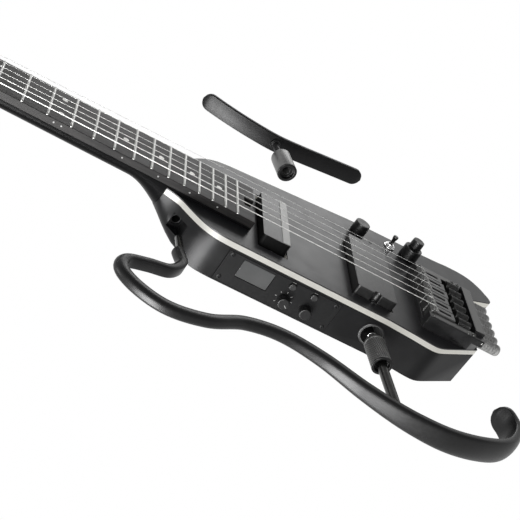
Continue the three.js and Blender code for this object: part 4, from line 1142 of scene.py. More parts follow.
@dataclass(frozen=True)
class Pickups:
    """Neck pickup with a bright bar and ears, bridge pickup with end notches."""

    neck_x: float = -140.8
    neck_size: tuple[float, float] = (24.4, 68.0)
    depth: float = 8.0
    rise: float = 7.5
    ear_drop: float = 3.2
    bridge_x: float = -50.2
    bridge_screws: float = 39.5
    corner: float = 3.5
    ear: float = 5.5
    ear_corner: float = 2.0
    top_corner: float = 1.2
    top_inset: float = 0.1
    bar_run: tuple[float, float] = (7.5, 0.9)
    bar_inset: float = 0.9

    def build(self, bench: Bench) -> None:
        """Makes both pickups and their screws.

        Args:
            bench: where they are made.
        """
        length, width = self.neck_size
        x0, x1 = self.neck_x - length / 2, self.neck_x + length / 2
        shell = prism(
            rounded_rectangle(x0, x1, -width / 2, width / 2, self.corner),
            BODY_TOP - self.depth, BODY_TOP + self.rise,
        )
        ears = prism(
            rounded_rectangle(
                x0, x1, -width / 2 - self.ear, width / 2 + self.ear, self.ear_corner
            ),
            BODY_TOP - self.depth, BODY_TOP - self.ear_drop,
        )
        # The shell's sides carry painted shade; its top is the moulded sheet laid over it.
        bench.piece("neck_pickup_shell", shell, SHADED_SIDES_BLACK, nodes=("neck_pickup",), bevel=0.5)
        inset = self.top_inset
        top = prism(
            rounded_rectangle(
                x0 + inset, x1 - inset, inset - width / 2, width / 2 - inset, self.top_corner
            ),
            BODY_TOP + self.rise - 0.5, BODY_TOP + self.rise + 0.05,
        )
        bench.piece("neck_pickup_top", top, MOULDED, bevel=0.1)
        bench.piece("neck_pickup_ears", ears, MOULDED, bevel=0.3)
        start, end = (x1 - back for back in self.bar_run)
        reach = width / 2 - self.bar_inset
        bar = prism(
            rounded_rectangle(start, end, -reach, reach, 0.8),
            BODY_TOP + self.rise - 0.3, BODY_TOP + self.rise + 0.5,
        )
        bench.piece("neck_pickup_bar", bar, PICKUP_BAR, bevel=0.25)
        low, out = BODY_TOP - self.ear_drop, width / 2 + self.ear / 2 + 0.1
        heads = [
            screw_head(np.array([self.neck_x, side * out, low]), UP, 2.2, 1.2, Drive.CROSS)
            for side in (-1, 1)
        ]
        bench.dressed("bridge_pickup", "bridge_pickup_shell", MOULDED, width=0.6)
        heads += [
            screw_head(
                np.array([self.bridge_x, side * self.bridge_screws, BODY_TOP]), UP, 2.4, 1.4,
                Drive.CROSS,
            )
            for side in (-1, 1)
        ]
        bench.piece("pickup_screws", together(heads), BRIDGE_BLACK)


@dataclass(frozen=True)
class Bridge:
    """Bridge base, saddles, carriages and tuner knobs."""

    height: float = 41.5
    rear: float = 49.6
    shaft_end: float = -16.2
    collar: tuple[float, float] = (3.4, 1.2)
    knob_radius: float = 4.8
    knob_length: float = 21.2
    carriage_radius: float = 3.6
    carriage_length: float = 12.4
    carriage_front: float = 24.0
    drum_run: tuple[float, float] = (24.8, 36.6)
    drum_radius: float = 4.3
    drum_level: float = 48.0
    string_bore: tuple[float, float] = (1.3, 5.6)
    shaft_bore: tuple[float, float] = (2.3, 5.9)
    rail_top: float = 49.1
    rail: tuple[float, float] = (32.7, 38.0)
    rail_run: tuple[float, float] = (-3.2, 40.1)
    block_top: float = 52.0
    block_run: tuple[float, float] = (40.9, 49.1)
    block_half: float = 32.1
    rail_screws: tuple[float, float] = (0.2, 34.0)
    rail_screw_row: float = 37.3
    rear_screw: tuple[float, float] = (39.2, 36.2)
    side_screw: tuple[float, float, float] = (48.2, 40.0, 47.3)
    grub_spread: float = 3.3
    grub_top: float = 51.1

    def knob(self, y: float) -> Skin:
        """A knurled thimble with a rounded end and a shaft.

        Args:
            y: its string's place.
        Returns:
            The knob.
        """
        neck, foot = self.collar
        radius, end = self.knob_radius, foot + self.knob_length
        corners = [
            (0.0, self.shaft_end), (2.0, self.shaft_end), (2.0, 0.3), (neck, 0.3), (neck, foot),
            (radius, foot + 0.5), (radius, end - 2.0), (radius - 0.9, end - 0.4), (0.0, end),
        ]
        profile = divided(softened(corners, 1.0), 0.8)
        relief = knurl(
            profile, 120, foot + 1.6, end - 3.2, radius, teeth=30, pitch=2.2, depth=0.3
        )
        return turned(profile, np.array([self.rear, y, self.height]), TAIL, 120, relief)

    def carriage(self, y: float) -> Skin:
        """A barrel with a bore at each end and fine diamond knurling between plain bands.

        Args:
            y: its string's place.
        Returns:
            The barrel.
        """
        radius, length = self.carriage_radius, self.carriage_length
        string, shaft = self.string_bore, self.shaft_bore
        corners = [
            (0.0, string[1]), string, (string[0], 0.0), (radius, 0.0), (radius, length),
            (shaft[0], length), shaft, (0.0, shaft[1]),
        ]
        profile = divided(softened(corners, 0.4), 0.45)
        relief = knurl(profile, 90, 0.6, length - 0.6, radius, teeth=18, pitch=2.0, depth=0.4)
        return turned(profile, np.array([self.carriage_front, y, self.height]), TAIL, 90, relief)

    def ribs(self, y: float) -> Skin:
        """A ribbed drum on top of a barrel, as high as the end block: fine diamond knurling
        between plain rims.

        Args:
            y: its string's place.
        Returns:
            The drum.
        """
        start, radius = self.drum_run[0], self.drum_radius
        length = self.drum_run[1] - start
        corners = [(0.0, 0.0), (radius, 0.0), (radius, length), (0.0, length)]
        profile = divided(softened(corners, 0.4), 0.4)
        relief = knurl(profile, 96, 0.5, length - 0.5, radius, teeth=16, pitch=2.0, depth=0.4)
        return turned(profile, np.array([start, y, self.drum_level]), TAIL, 96, relief)

    def plates(self) -> Skin:
        """Grey plates let into the tops of both rails and of the end block.

        Returns:
            The plates.
        """
        inner, outer = self.rail
        sheets = [
            prism(
                rounded_rectangle(*self.rail_run, *sorted((side * inner, side * outer)), 0.6),
                self.rail_top - 0.2, self.rail_top + 0.15,
            )
            for side in (-1, 1)
        ]
        sheets.append(prism(
            rounded_rectangle(*self.block_run, -self.block_half, self.block_half, 0.6),
            self.block_top - 0.2, self.block_top + 0.12,
        ))
        return together(sheets)

    def screws(self) -> Skin:
        """Hexagon screws on the rails, and one in each rear corner of the sides.

        Returns:
            The heads.
        """
        row, top, heads = self.rail_screw_row, self.rail_top, []
        for x in self.rail_screws:
            for side in (-1, 1):
                place = np.array([x, side * row, top + 0.1])
                heads.append(screw_head(place, UP, 1.5, 0.6, Drive.HEX))
        for side in (-1, 1):
            place = np.array([self.rear_screw[0], side * self.rear_screw[1], top + 0.2])
            heads.append(screw_head(place, UP, 1.9, 0.9, Drive.HEX))
        for side in (-1, 1):
            place = np.array([self.side_screw[0], side * self.side_screw[1], self.side_screw[2]])
            heads.append(screw_head(place, side * TREBLE, 1.1, 0.7, Drive.HEX))
        return together(heads)

    def build(self, bench: Bench) -> None:
        """Makes the bridge's pieces.

        Args:
            bench: where they are made.
        """
        bench.dressed("bridge_base", "bridge_frame", BRIDGE_BLACK, width=0.35)
        bench.piece("bridge_plates", self.plates(), RAIL, bevel=0.1)
        bench.piece("bridge_screws", self.screws(), RAIL)
        grubs = []
        for i in range(STRINGS):
            y = string_place(i, STRING_SPACING)
            number = i + 1
            bench.dressed(f"saddle_{number}", f"saddle_block_{number}", SADDLE, width=0.3)
            bench.piece(
                f"carriage_barrel_{number}", self.carriage(y), RIBBED, f"carriage_{number}",
                (f"tuner_carriage_{number}",),
            )
            bench.piece(f"carriage_drum_{number}", self.ribs(y), RIBBED, f"carriage_{number}")
            bench.piece(
                f"tuner_thimble_{number}", self.knob(y), KNOB_METAL, f"tuner_{number}",
                (f"tuner_knob_{number}",), crease=30,
            )
            behind = StringSet().breaks[i] + 1.5
            for side in (-1, 1):
                place = np.array([behind, y + side * self.grub_spread, self.grub_top])
                grubs.append(screw_head(place, UP, 1.15, 0.9, Drive.HEX))
        bench.piece("saddle_screws", together(grubs), FRET)


@dataclass(frozen=True)
class TopControls:
    """Volume knob, stacked tone knobs, and the pickup toggle."""

    base: float = 37.0
    volume: tuple[float, float] = (-51.5, 66.6)
    tone: tuple[float, float] = (1.0, 68.0)
    toggle: tuple[float, float] = (-17.2, 71.6)
    volume_size: tuple[float, float, float] = (7.0, 10.2, 8.0)
    ring_size: tuple[float, float, float] = (8.5, 11.0, 0.1)
    cap_size: tuple[float, float, float] = (5.5, 7.7, 0.2)
    cap_rise: float = 11.3
    nut_profile: Outline = (
        (0.0, 0.0), (5.2, 0.0), (5.2, 1.0), (4.4, 1.1), (4.4, 2.4), (3.4, 2.7), (3.2, 3.4),
        (2.4, 3.4), (2.3, 0.9), (0.0, 0.9),
    )
    lever_profile: Outline = (
        (0.0, -1.7), (1.4, -1.0), (1.7, 0.0), (1.2, 1.4), (1.2, 3.0), (2.5, 8.6), (2.2, 9.7),
        (0.0, 9.8),
    )
    lever_rise: float = 2.2

    def knob(
        self, place: tuple[float, float], base: float, size: tuple[float, float, float]
    ) -> Skin:
        """A plain knob whose side leans in a little over its upper half.

        Args:
            place: its axis on the face.
            base: height of its foot.
            size: its radius at the foot, its height, and how far its shaft reaches down.
        Returns:
            The knob.
        """
        radius, height, stem = size
        corners = [
            (0.0, -stem), (1.5, -stem), (1.5, 0.0), (radius, 0.0), (radius, height * 0.5),
            (radius - 0.25, height), (radius - 1.2, height), (0.0, height - 0.15),
        ]
        profile = divided(softened(corners, 0.7), 1.5)
        return turned(profile, np.array([*place, base]), UP, 72)

    def build(self, bench: Bench) -> None:
        """Makes the controls on the face.

        Args:
            bench: where they are made.
        """
        bench.piece(
            "volume_cap", self.knob(self.volume, self.base, self.volume_size), POWDER,
            "volume_knob", ("volume_knob",),
        )
        bench.piece(
            "tone_ring", self.knob(self.tone, self.base, self.ring_size), POWDER,
            "tone_lower", ("tone_knob_lower",),
        )
        bench.piece(
            "tone_cap", self.knob(self.tone, self.base + self.cap_rise, self.cap_size), POWDER,
            "tone_upper", ("tone_knob_upper",),
        )
        self.switch(bench)

    def switch(self, bench: Bench) -> None:
        """Makes the toggle: washer, grooved round nut and flared lever.

        Args:
            bench: where it is made.
        """
        place = np.array([*self.toggle, BODY_TOP])
        profile = divided(softened(self.nut_profile, 0.25), 0.5)
        relief = knurl(profile, 96, 1.15, 2.4, 4.4, teeth=24, pitch=0.0, depth=0.4)
        nut = turned(profile, place, UP, 96, relief)
        bench.piece("toggle_nut", nut, CHROME, nodes=("toggle_switch",))
        profile = divided(softened(self.lever_profile, 0.9), 0.8)
        lever = turned(profile, place + self.lever_rise * UP, UP, 32)
        bench.piece("toggle_bat", lever, MOULDED, "toggle", ("toggle_lever",))


@dataclass(frozen=True)
class SidePanel:
    """Side panel with its window, knobs, buttons, screws and plain marks."""

    face: float = -53.3
    columns: tuple[float, float] = (-117.0, -97.8)
    knob_row: float = 11.4
    button_row: float = 25.0
    screws: tuple[tuple[float, float], ...] = (
        (-169.6, 26.4), (-169.5, 5.0), (-78.5, 26.2), (-77.8, 4.7),
    )
    screw_size: tuple[float, float] = (1.7, 0.7)
    knob_profile: Outline = (
        (0.0, -5.6), (2.0, -5.6), (2.0, 0.3), (4.8, 0.3), (4.8, 5.6), (4.5, 7.2), (0.0, 7.15),
    )
    button_profile: Outline = (
        (0.0, -2.7), (3.4, -2.7), (3.4, -1.9), (2.7, -1.9), (2.7, 2.1), (2.4, 2.4), (0.0, 2.2),
    )
    fan: tuple[float, float] = (6.1, 7.5)
    fan_half: float = 0.22
    dash: Outline = ((-1.4, 28.0), (1.4, 28.0), (1.4, 28.35), (-1.4, 28.35))
    pointer_run: tuple[float, float] = (1.0, 4.0)
    pointer_half: float = 0.3
    pointer_turn: float = math.radians(-35)

    def knob(self, x: float) -> Skin:
        """A grooved knob that faces the player: straight grooves round its side.

        Args:
            x: its place along the edge.
        Returns:
            The knob.
        """
        profile = divided(softened(self.knob_profile, 0.5), 0.8)
        relief = knurl(profile, 96, 0.8, 6.4, 4.75, teeth=24, pitch=0.0, depth=0.22)
        return turned(profile, np.array([x, self.face, self.knob_row]), -TREBLE, 96, relief)

    def marks(self) -> Skin:
        """Seven dashes in a fan round the first knob, and one over each button.

        Returns:
            The marks, a hair proud of the panel.
        """
        angle = np.radians(np.linspace(-40, 220, 7))
        (inner, outer), half = self.fan, self.fan_half
        along = np.stack([np.cos(angle), np.sin(angle)], axis=1)
        side = np.stack([-along[:, 1], along[:, 0]], axis=1)
        centre = np.array([self.columns[0], self.knob_row])
        corner = np.array([[inner, -half], [outer, -half], [outer, half], [inner, half]])
        fan = centre + corner[None, :, :1] * along[:, None] + corner[None, :, 1:] * side[:, None]
        bars = [prism(one, -0.1, 0.04) for one in fan]
        bars += [prism(np.array(self.dash) + [x, 0.0], -0.1, 0.04) for x in self.columns]
        return on_side(together(bars), self.face)

    def pointer(self) -> Skin:
        """Short dash on the selector's face, turned about the knob's axis: u cos a - w sin a,
        u sin a + w cos a.

        Returns:
            The dash, a hair proud of the knob.
        """
        middle, row, half = self.columns[0], self.knob_row, self.pointer_half
        near, far = (middle + run for run in self.pointer_run)
        dash = rounded_rectangle(near, far, row - half, row + half, 0.2)
        straight = on_side(prism(dash, 7.0, 7.25), self.face)
        cos, sin = math.cos(self.pointer_turn), math.sin(self.pointer_turn)
        x, y, z = straight.points.T
        u, w = x - middle, z - row
        spun = np.stack([middle + u * cos - w * sin, y, row + u * sin + w * cos], axis=1)
        return Skin(spun, straight.quads, straight.caps)

    def build(self, bench: Bench) -> None:
        """Makes the panel and what it carries.

        Args:
            bench: where they are made.
        """
        bench.dressed("control_panel", "panel_sheet", PANEL, width=0.25)
        bench.dressed("display_screen", "display_window", SCREEN, width=0.2)
        for x, node, body, name in (
            (self.columns[0], "selector_knob", "selector", "selector_cap"),
            (self.columns[1], "panel_volume_knob", "panel_volume", "side_volume_cap"),
        ):
            bench.piece(name, self.knob(x), POWDER, body, (node,))
        for x, node, body in (
            (self.columns[0], "button_left", "left_button"),
            (self.columns[1], "button_right", "right_button"),
        ):
            place = np.array([x, self.face, self.button_row])
            cap = turned(softened(self.button_profile, 0.3), place, -TREBLE, 40)
            bench.piece(f"{node}_cap", cap, MOULDED, body, (node,))
        bench.piece("panel_marks", self.marks(), INK)
        heads = [
            screw_head(
                np.array([x, self.face - 0.02, z]), -TREBLE, *self.screw_size, Drive.HEX
            )
            for x, z in self.screws
        ]
        bench.piece("panel_screws", together(heads), PANEL)
        bench.piece("selector_pointer", self.pointer(), INK, "selector")


def eased(stations: int, start: float, end: float) -> np.ndarray:
    """A rise from 0 to 1 by 3t^2 - 2t^3 between two shares of a path.

    Args:
        stations: number of stations on the path.
        start: share at which it begins.
        end: share at which it is complete.
    Returns:
        The rise at each station.
    """
    t = np.clip((np.linspace(0, 1, stations) - start) / (end - start), 0, 1)
    return t**2 * (3 - 2 * t)


@dataclass(frozen=True)
class Bar:
    """A curved bar with a flat inner face, rounded corners and a rounded outside."""

    path: np.ndarray
    thickness: float
    stations: int
    flat: float = 0.46
    corner: float = 0.7
    cut: float = 0.0
    swell_run: float = 40.0

    def surface(self, heights: np.ndarray, drop: np.ndarray) -> Skin:
        """Carries the section along the path. The section runs up the flat face, round its
        corner, out along the shoulder, and back round half an ellipse. An end is domed by
        sqrt(1 - t^2) over half its height; where cut is set, the start is cut off flat instead
        and the belly swells from that share of its depth to the whole over its swell run.

        Args:
            heights: the bar's height at each station.
            drop: how far its middle hangs under the level at each station.
        Returns:
            The bar.
        """
        path = smooth_curve(self.path, self.stations)
        slope = np.gradient(path, axis=0)
        slope = slope / np.linalg.norm(slope, axis=1, keepdims=True)
        out = np.stack([slope[:, 1], -slope[:, 0]], axis=1)
        run = np.concatenate([[0], np.cumsum(np.linalg.norm(np.diff(path, axis=0), axis=1))])
        near = run[-1] - run if self.cut else np.minimum(run, run[-1] - run)
        inside = np.clip(1 - near / (heights / 2), 0, 1)
        scale = np.maximum(0.12, np.sqrt(1 - inside**2))
        half = (heights / 2 * scale)[:, None]
        flat = self.thickness * self.flat
        swell = 1.0
        if self.cut:
            swell = self.cut + (1 - self.cut) * np.clip(run / self.swell_run, 0, 1)
        deep = ((self.thickness - flat) * scale * swell)[:, None]
        rounded = np.array([0.0, 0.3, 1.0, 1.0])
        angle = np.linspace(0, math.pi, 21)[None, :]
        start_out = np.array([0.0, 0.12, self.corner, flat])[None, :]
        start_half = half - self.corner * (1 - rounded)[None, :]
        belly_out = flat + deep * np.sin(angle[:, 1:-1])
        belly_z = half * np.cos(angle[:, 1:-1])
        outs = np.hstack([
            np.repeat(start_out, len(path), 0), belly_out,
            np.repeat(start_out[:, ::-1], len(path), 0),
        ])
        zs = np.hstack([start_half, belly_z, -start_half[:, ::-1]])
        xy = path[:, None, :] + outs[..., None] * out[:, None, :]
        z = SUPPORT_LEVEL - drop[:, None] + zs
        return tube(np.concatenate([xy, z[..., None]], axis=-1))


@dataclass(frozen=True)
class Grip:
    """A thumb nut: nose, knurled or plain barrel, hollow mouth, and the post's bore."""

    radius: float
    nose: float
    mouth: float
    length: float = 32.0
    taper: float = 5.0
    mouth_depth: float = 4.0
    post: float = 3.6

    def surface(
        self, start: np.ndarray, direction: np.ndarray, post_depth: float, mouth_bore: float,
        mouth_bore_depth: float, teeth: int,
    ) -> Skin:
        """The nut's outside with its bores.

        Args:
            start: middle of its nose.
            direction: from nose to mouth.
            post_depth: depth of the bore in the nose.
            mouth_bore: radius of the bore in the mouth.
            mouth_bore_depth: depth of that bore under the mouth.
            teeth: grooves of the knurling, or 0 for a plain barrel.
        Returns:
            The nut.
        """
        floor = self.length - self.mouth_depth
        corners = [
            (0.0, post_depth), (self.post, post_depth), (self.post, 0.0), (self.nose, 0.0),
            (self.radius, self.taper), (self.radius, self.length), (self.mouth, self.length),
            (self.mouth, floor), (mouth_bore, floor), (mouth_bore, floor - mouth_bore_depth),
            (0.0, floor - mouth_bore_depth),
        ]
        if not teeth:
            return turned(softened(corners, 0.8), start, direction, 64)
        profile = divided(softened(corners, 0.8), 0.35)
        low, high = self.taper + 1.5, self.length - 2
        relief = knurl(profile, teeth * 6, low, high, self.radius, teeth, pitch=2.6, depth=0.6)
        return turned(profile, start, direction, teeth * 6, relief)

    def collar(self, start: np.ndarray, direction: np.ndarray, mouth_bore: float) -> Skin:
        """A dark collar round the mouth: up the outside, over the rim, down the wall, in over
        the floor to the bore, and back inside the metal.

        Args:
            start: middle of the nut's nose.
            direction: from nose to mouth.
            mouth_bore: radius of the bore in the mouth.
        Returns:
            The collar.
        """
        floor, end = self.length - self.mouth_depth, self.length
        ring = softened([
            (self.radius - 0.3, end - 1.6), (self.radius + 0.08, end - 1.5),
            (self.radius + 0.08, end + 0.1), (self.mouth - 0.1, end + 0.1),
            (self.mouth - 0.1, floor + 0.1), (mouth_bore + 0.1, floor + 0.1),
            (mouth_bore + 0.1, floor - 0.6), (self.mouth + 0.3, floor - 0.6),
            (self.mouth + 0.3, end - 1.6), (self.radius - 0.3, end - 1.6),
        ], 0.5)
        return turned(ring, start, direction, 64)


ARM_GRIP = Grip(8.2, 5.4, 6.2)
LEG_GRIP = Grip(9.2, 6.0, 6.8)


@dataclass(frozen=True)
class Socket:
    """A thin cup let into an edge of the body, with a hollow post in its middle. Its mouth is a
    point, inwards the axis into the body, and side is 1 for the treble edge and -1 for the bass.
    """

    mouth: np.ndarray
    inwards: np.ndarray
    outer: float
    side: int
    depth: float = 23.5
    wall: float = 1.0
    floor: float = 1.5
    rim: float = 0.8
    post_profile: Outline = (
        (0, 1), (3.3, 1), (3.3, 25.0), (2.2, 25.0), (2.2, 16), (0, 16),
    )
    ring_profile: Outline = (
        (2.1, 24.7), (3.4, 24.7), (3.4, 25.6), (2.1, 25.6), (2.1, 24.7),
    )

    def cup(self) -> Skin:
        """The cup, turned longer than its depth and cut level with the edge that it stands in: a
        point beyond the edge's plane slides back along the axis to the plane.

        Returns:
            The cup.
        """
        outer, inner, brim = self.outer, self.outer - self.wall, self.depth + self.outer
        profile = np.array([
            [0, 0], [outer, 0], [outer, brim], [inner, brim], [inner, self.floor], [0, self.floor],
        ])
        skin = self.stood(divided(profile, 6.0), 64)
        over = np.maximum(0, (skin.points[:, 1] - self.mouth[1]) * self.side - self.rim)
        slide = (over / abs(self.inwards[1]))[:, None]
        return Skin(skin.points + self.inwards * slide, skin.quads)

    def stood(self, profile: np.ndarray, steps: int) -> Skin:
        """A profile turned about the socket's axis, with distance 0 at the cup's underside."""
        return turned(profile, self.mouth + self.depth * self.inwards, -self.inwards, steps)

    def build(self, bench: Bench, name: str, node: str, finish: Finish) -> None:
        """Makes the cup, its post and the bright ring on the post's end.

        Args:
            bench: where they are made.
            name: what their names start with.
            node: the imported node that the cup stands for.
            finish: the cup's finish.
        """
        bench.piece(f"{name}_cup", self.cup(), finish, nodes=(node,))
        bench.piece(f"{name}_post", self.stood(softened(self.post_profile, 0.2), 48), POWDER)
        ring = self.stood(softened(self.ring_profile, 0.25), 48)
        bench.piece(f"{name}_post_ring", ring, CHROME)


@dataclass(frozen=True)
class ArmSupport:
    """Arm frame with its rod, thumb nut and both sockets."""

    tilt: float = math.radians(7)
    socket_x: float = -40.5
    reach: tuple[float, float] = (340.0, 145.0)
    standoff: float = 5.6
    thickness: float = 8.6
    stations: int = 281
    slim: float = 9.0
    growth: float = 13.0
    growth_span: tuple[float, float] = (0.42, 0.9)
    upper_growth: float = 11.0
    upper_span: tuple[float, float] = (0.6, 0.84)
    cut: float = 0.6
    pin_root: tuple[float, float] = (-210.74, -50.45)
    pin_profile: Outline = ((0, 0), (2.8, 0), (2.8, 19.4), (3.6, 20.4), (3.6, 23.7), (0, 23.7))
    rim_profile: Outline = (
        (8.7, -1.2), (10.5, -1.2), (10.6, 0.2), (9.6, 0.95), (8.7, 0.2), (8.7, -1.2),
    )
    bore: float = 4.4
    shares: tuple[tuple[float, float], ...] = (
        (-0.613, -0.478), (-0.6, -0.595), (-0.628, -0.707), (-0.682, -0.752), (-0.724, -0.8),
        (-0.73, -0.855), (-0.705, -0.925), (-0.64, -0.983), (-0.552, -0.938), (-0.462, -0.81),
        (-0.37, -0.76), (-0.27, -0.79), (-0.162, -0.878), (-0.044, -0.957), (0.044, -0.972),
        (0.132, -0.92), (0.206, -0.817), (0.242, -0.669), (0.239, -0.585), (0.218, -0.51),
    )

    def build(self, bench: Bench) -> None:
        """Makes the arm support's pieces.

        Args:
            bench: where they are made.
        """
        out = np.array([math.sin(self.tilt), -math.cos(self.tilt), 0.0])
        mouth = np.array([self.socket_x, BASS_EDGE, SUPPORT_LEVEL])
        upper = self.slim + self.upper_growth * eased(self.stations, *self.upper_span)
        heights = self.slim + self.growth * eased(self.stations, *self.growth_span)
        path = np.array(self.shares) * self.reach
        bar = Bar(path, self.thickness, self.stations, cut=self.cut).surface(
            heights, (heights - upper) / 2
        )
        root = np.array([*self.pin_root, SUPPORT_LEVEL])
        pin = turned(softened(self.pin_profile, 0.8), root, out, 40)
        bench.piece("arm_bar", bar, POWDER, "arm", ("arm_frame",), crease=45)
        bench.piece("arm_pin", pin, PLATED, "arm")
        bench.dressed("arm_rod", "arm_stem", PLATED, "arm", 0.3)
        start = mouth + self.standoff * out
        grip = ARM_GRIP.surface(
            start, out, post_depth=24.3, mouth_bore=self.bore, mouth_bore_depth=3.5, teeth=32
        )
        bench.piece("arm_grip", grip, GUNMETAL, "arm_nut", ("arm_thumb_nut",), crease=25)
        bench.piece("arm_grip_collar", ARM_GRIP.collar(start, out, self.bore), POWDER, "arm_nut")
        # The cup is black; its near-black finish also paints shade into the socket's hollow.
        Socket(mouth, -out, outer=9.6, side=-1).build(
            bench, "arm", "arm_socket_rear", HOLLOW_SHADE
        )
        rim = turned(softened(self.rim_profile, 0.4), mouth, -TREBLE, 72)
        bench.piece("arm_rim", rim, POWDER)
        bench.dressed("arm_socket_front", "front_sleeve", POWDER, width=0.2)


@dataclass(frozen=True)
class LegSupport:
    """Leg rest with its stem, thumb nut and socket."""

    tilt: float = math.radians(12)
    mouth: tuple[float, float] = (-87.0, 78.84)
    reach: float = 81.0
    gap: float = 51.0
    length: float = 184.0
    height: float = 16.5
    thickness: float = 8.6
    stations: int = 161
    bore: float = 3.6
    shares: tuple[tuple[float, float], ...] = (
        (0.55, 0.128), (0.46, 0.106), (0.31, 0.068), (0.145, 0.026), (0.0, 0.0), (-0.16, 0.012),
        (-0.3, 0.042), (-0.43, 0.086),
    )

    def build(self, bench: Bench) -> None:
        """Makes the leg rest's pieces.

        Args:
            bench: where they are made.
        """
        out = np.array([-math.sin(self.tilt), math.cos(self.tilt), 0.0])
        mouth = np.array([*self.mouth, SUPPORT_LEVEL])
        root = mouth + (self.reach + self.gap) * out
        path = root[:2] + np.array(self.shares) * self.length
        bar = Bar(path, self.thickness, self.stations).surface(
            np.full(self.stations, self.height), np.zeros(self.stations)
        )
        bench.piece("leg_bar", bar, LEG_COAT, "leg_rest", ("leg_rest_bar",), crease=45)
        bench.dressed("leg_rest_stem", "leg_stem", POWDER, "leg_rest", 0.3)
        start = mouth + (self.reach + LEG_GRIP.length) * out
        grip = LEG_GRIP.surface(
            start, -out, post_depth=4.3, mouth_bore=self.bore, mouth_bore_depth=20.4, teeth=0
        )
        bench.piece("leg_grip", grip, GUNMETAL, "leg_nut", ("leg_thumb_nut",))
        bench.piece("leg_grip_collar", LEG_GRIP.collar(start, -out, self.bore), POWDER, "leg_nut")
        Socket(mouth, -out, outer=10.6, side=1).build(bench, "leg", "leg_socket", GUNMETAL)


@dataclass(frozen=True)
class Jack:
    """Output jack in the treble edge."""

    place: tuple[float, float] = (26.0, 15.0)
    barrel: float = 5.4
    plate: float = 9.0
    plate_thickness: float = 1.6
    bore: tuple[float, float] = (3.3, 2.0)

    def build(self, bench: Bench) -> None:
        """Makes the jack: barrel, round plate and bore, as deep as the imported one.

        Args:
            bench: where it is made.
        """
        low, high = (np.array(corner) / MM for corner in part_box("output_jack"))
        depth = high[1] - low[1]
        bore, floor, under = *self.bore, depth - self.plate_thickness
        corners = [
            (0, 0), (self.barrel, 0), (self.barrel, under), (self.plate, under),
            (self.plate, depth), (bore, depth), (bore, floor), (0, floor),
        ]
        start = np.array([self.place[0], low[1], self.place[1]])
        plate = turned(softened(corners, 0.4), start, TREBLE, 64)
        bench.piece("jack_plate", plate, CHROME, nodes=("output_jack",))


@dataclass(frozen=True)
class Lamp:
    """A rectangular lamp, in metres and watts; gloss_only shows it in gloss and nowhere else."""

    name: str
    place: tuple[float, float, float]
    size: tuple[float, float]
    power: float
    gloss_only: bool = True

    def build(self, aim: tuple[float, float, float]) -> None:
        """Makes the lamp.

        Args:
            aim: the point that it faces.
        """
        data = bpy.data.lights.new(self.name, "AREA")
        data.shape = "RECTANGLE"
        data.size, data.size_y = self.size
        data.energy = self.power
        lamp = bpy.data.objects.new(self.name, data)
        bpy.context.scene.collection.objects.link(lamp)
        lamp.visible_diffuse = not self.gloss_only
        lamp.visible_camera = False
        spot = Vector(self.place)
        lamp.location = spot
        lamp.rotation_euler = (Vector(aim) - spot).to_track_quat("-Z", "Y").to_euler()


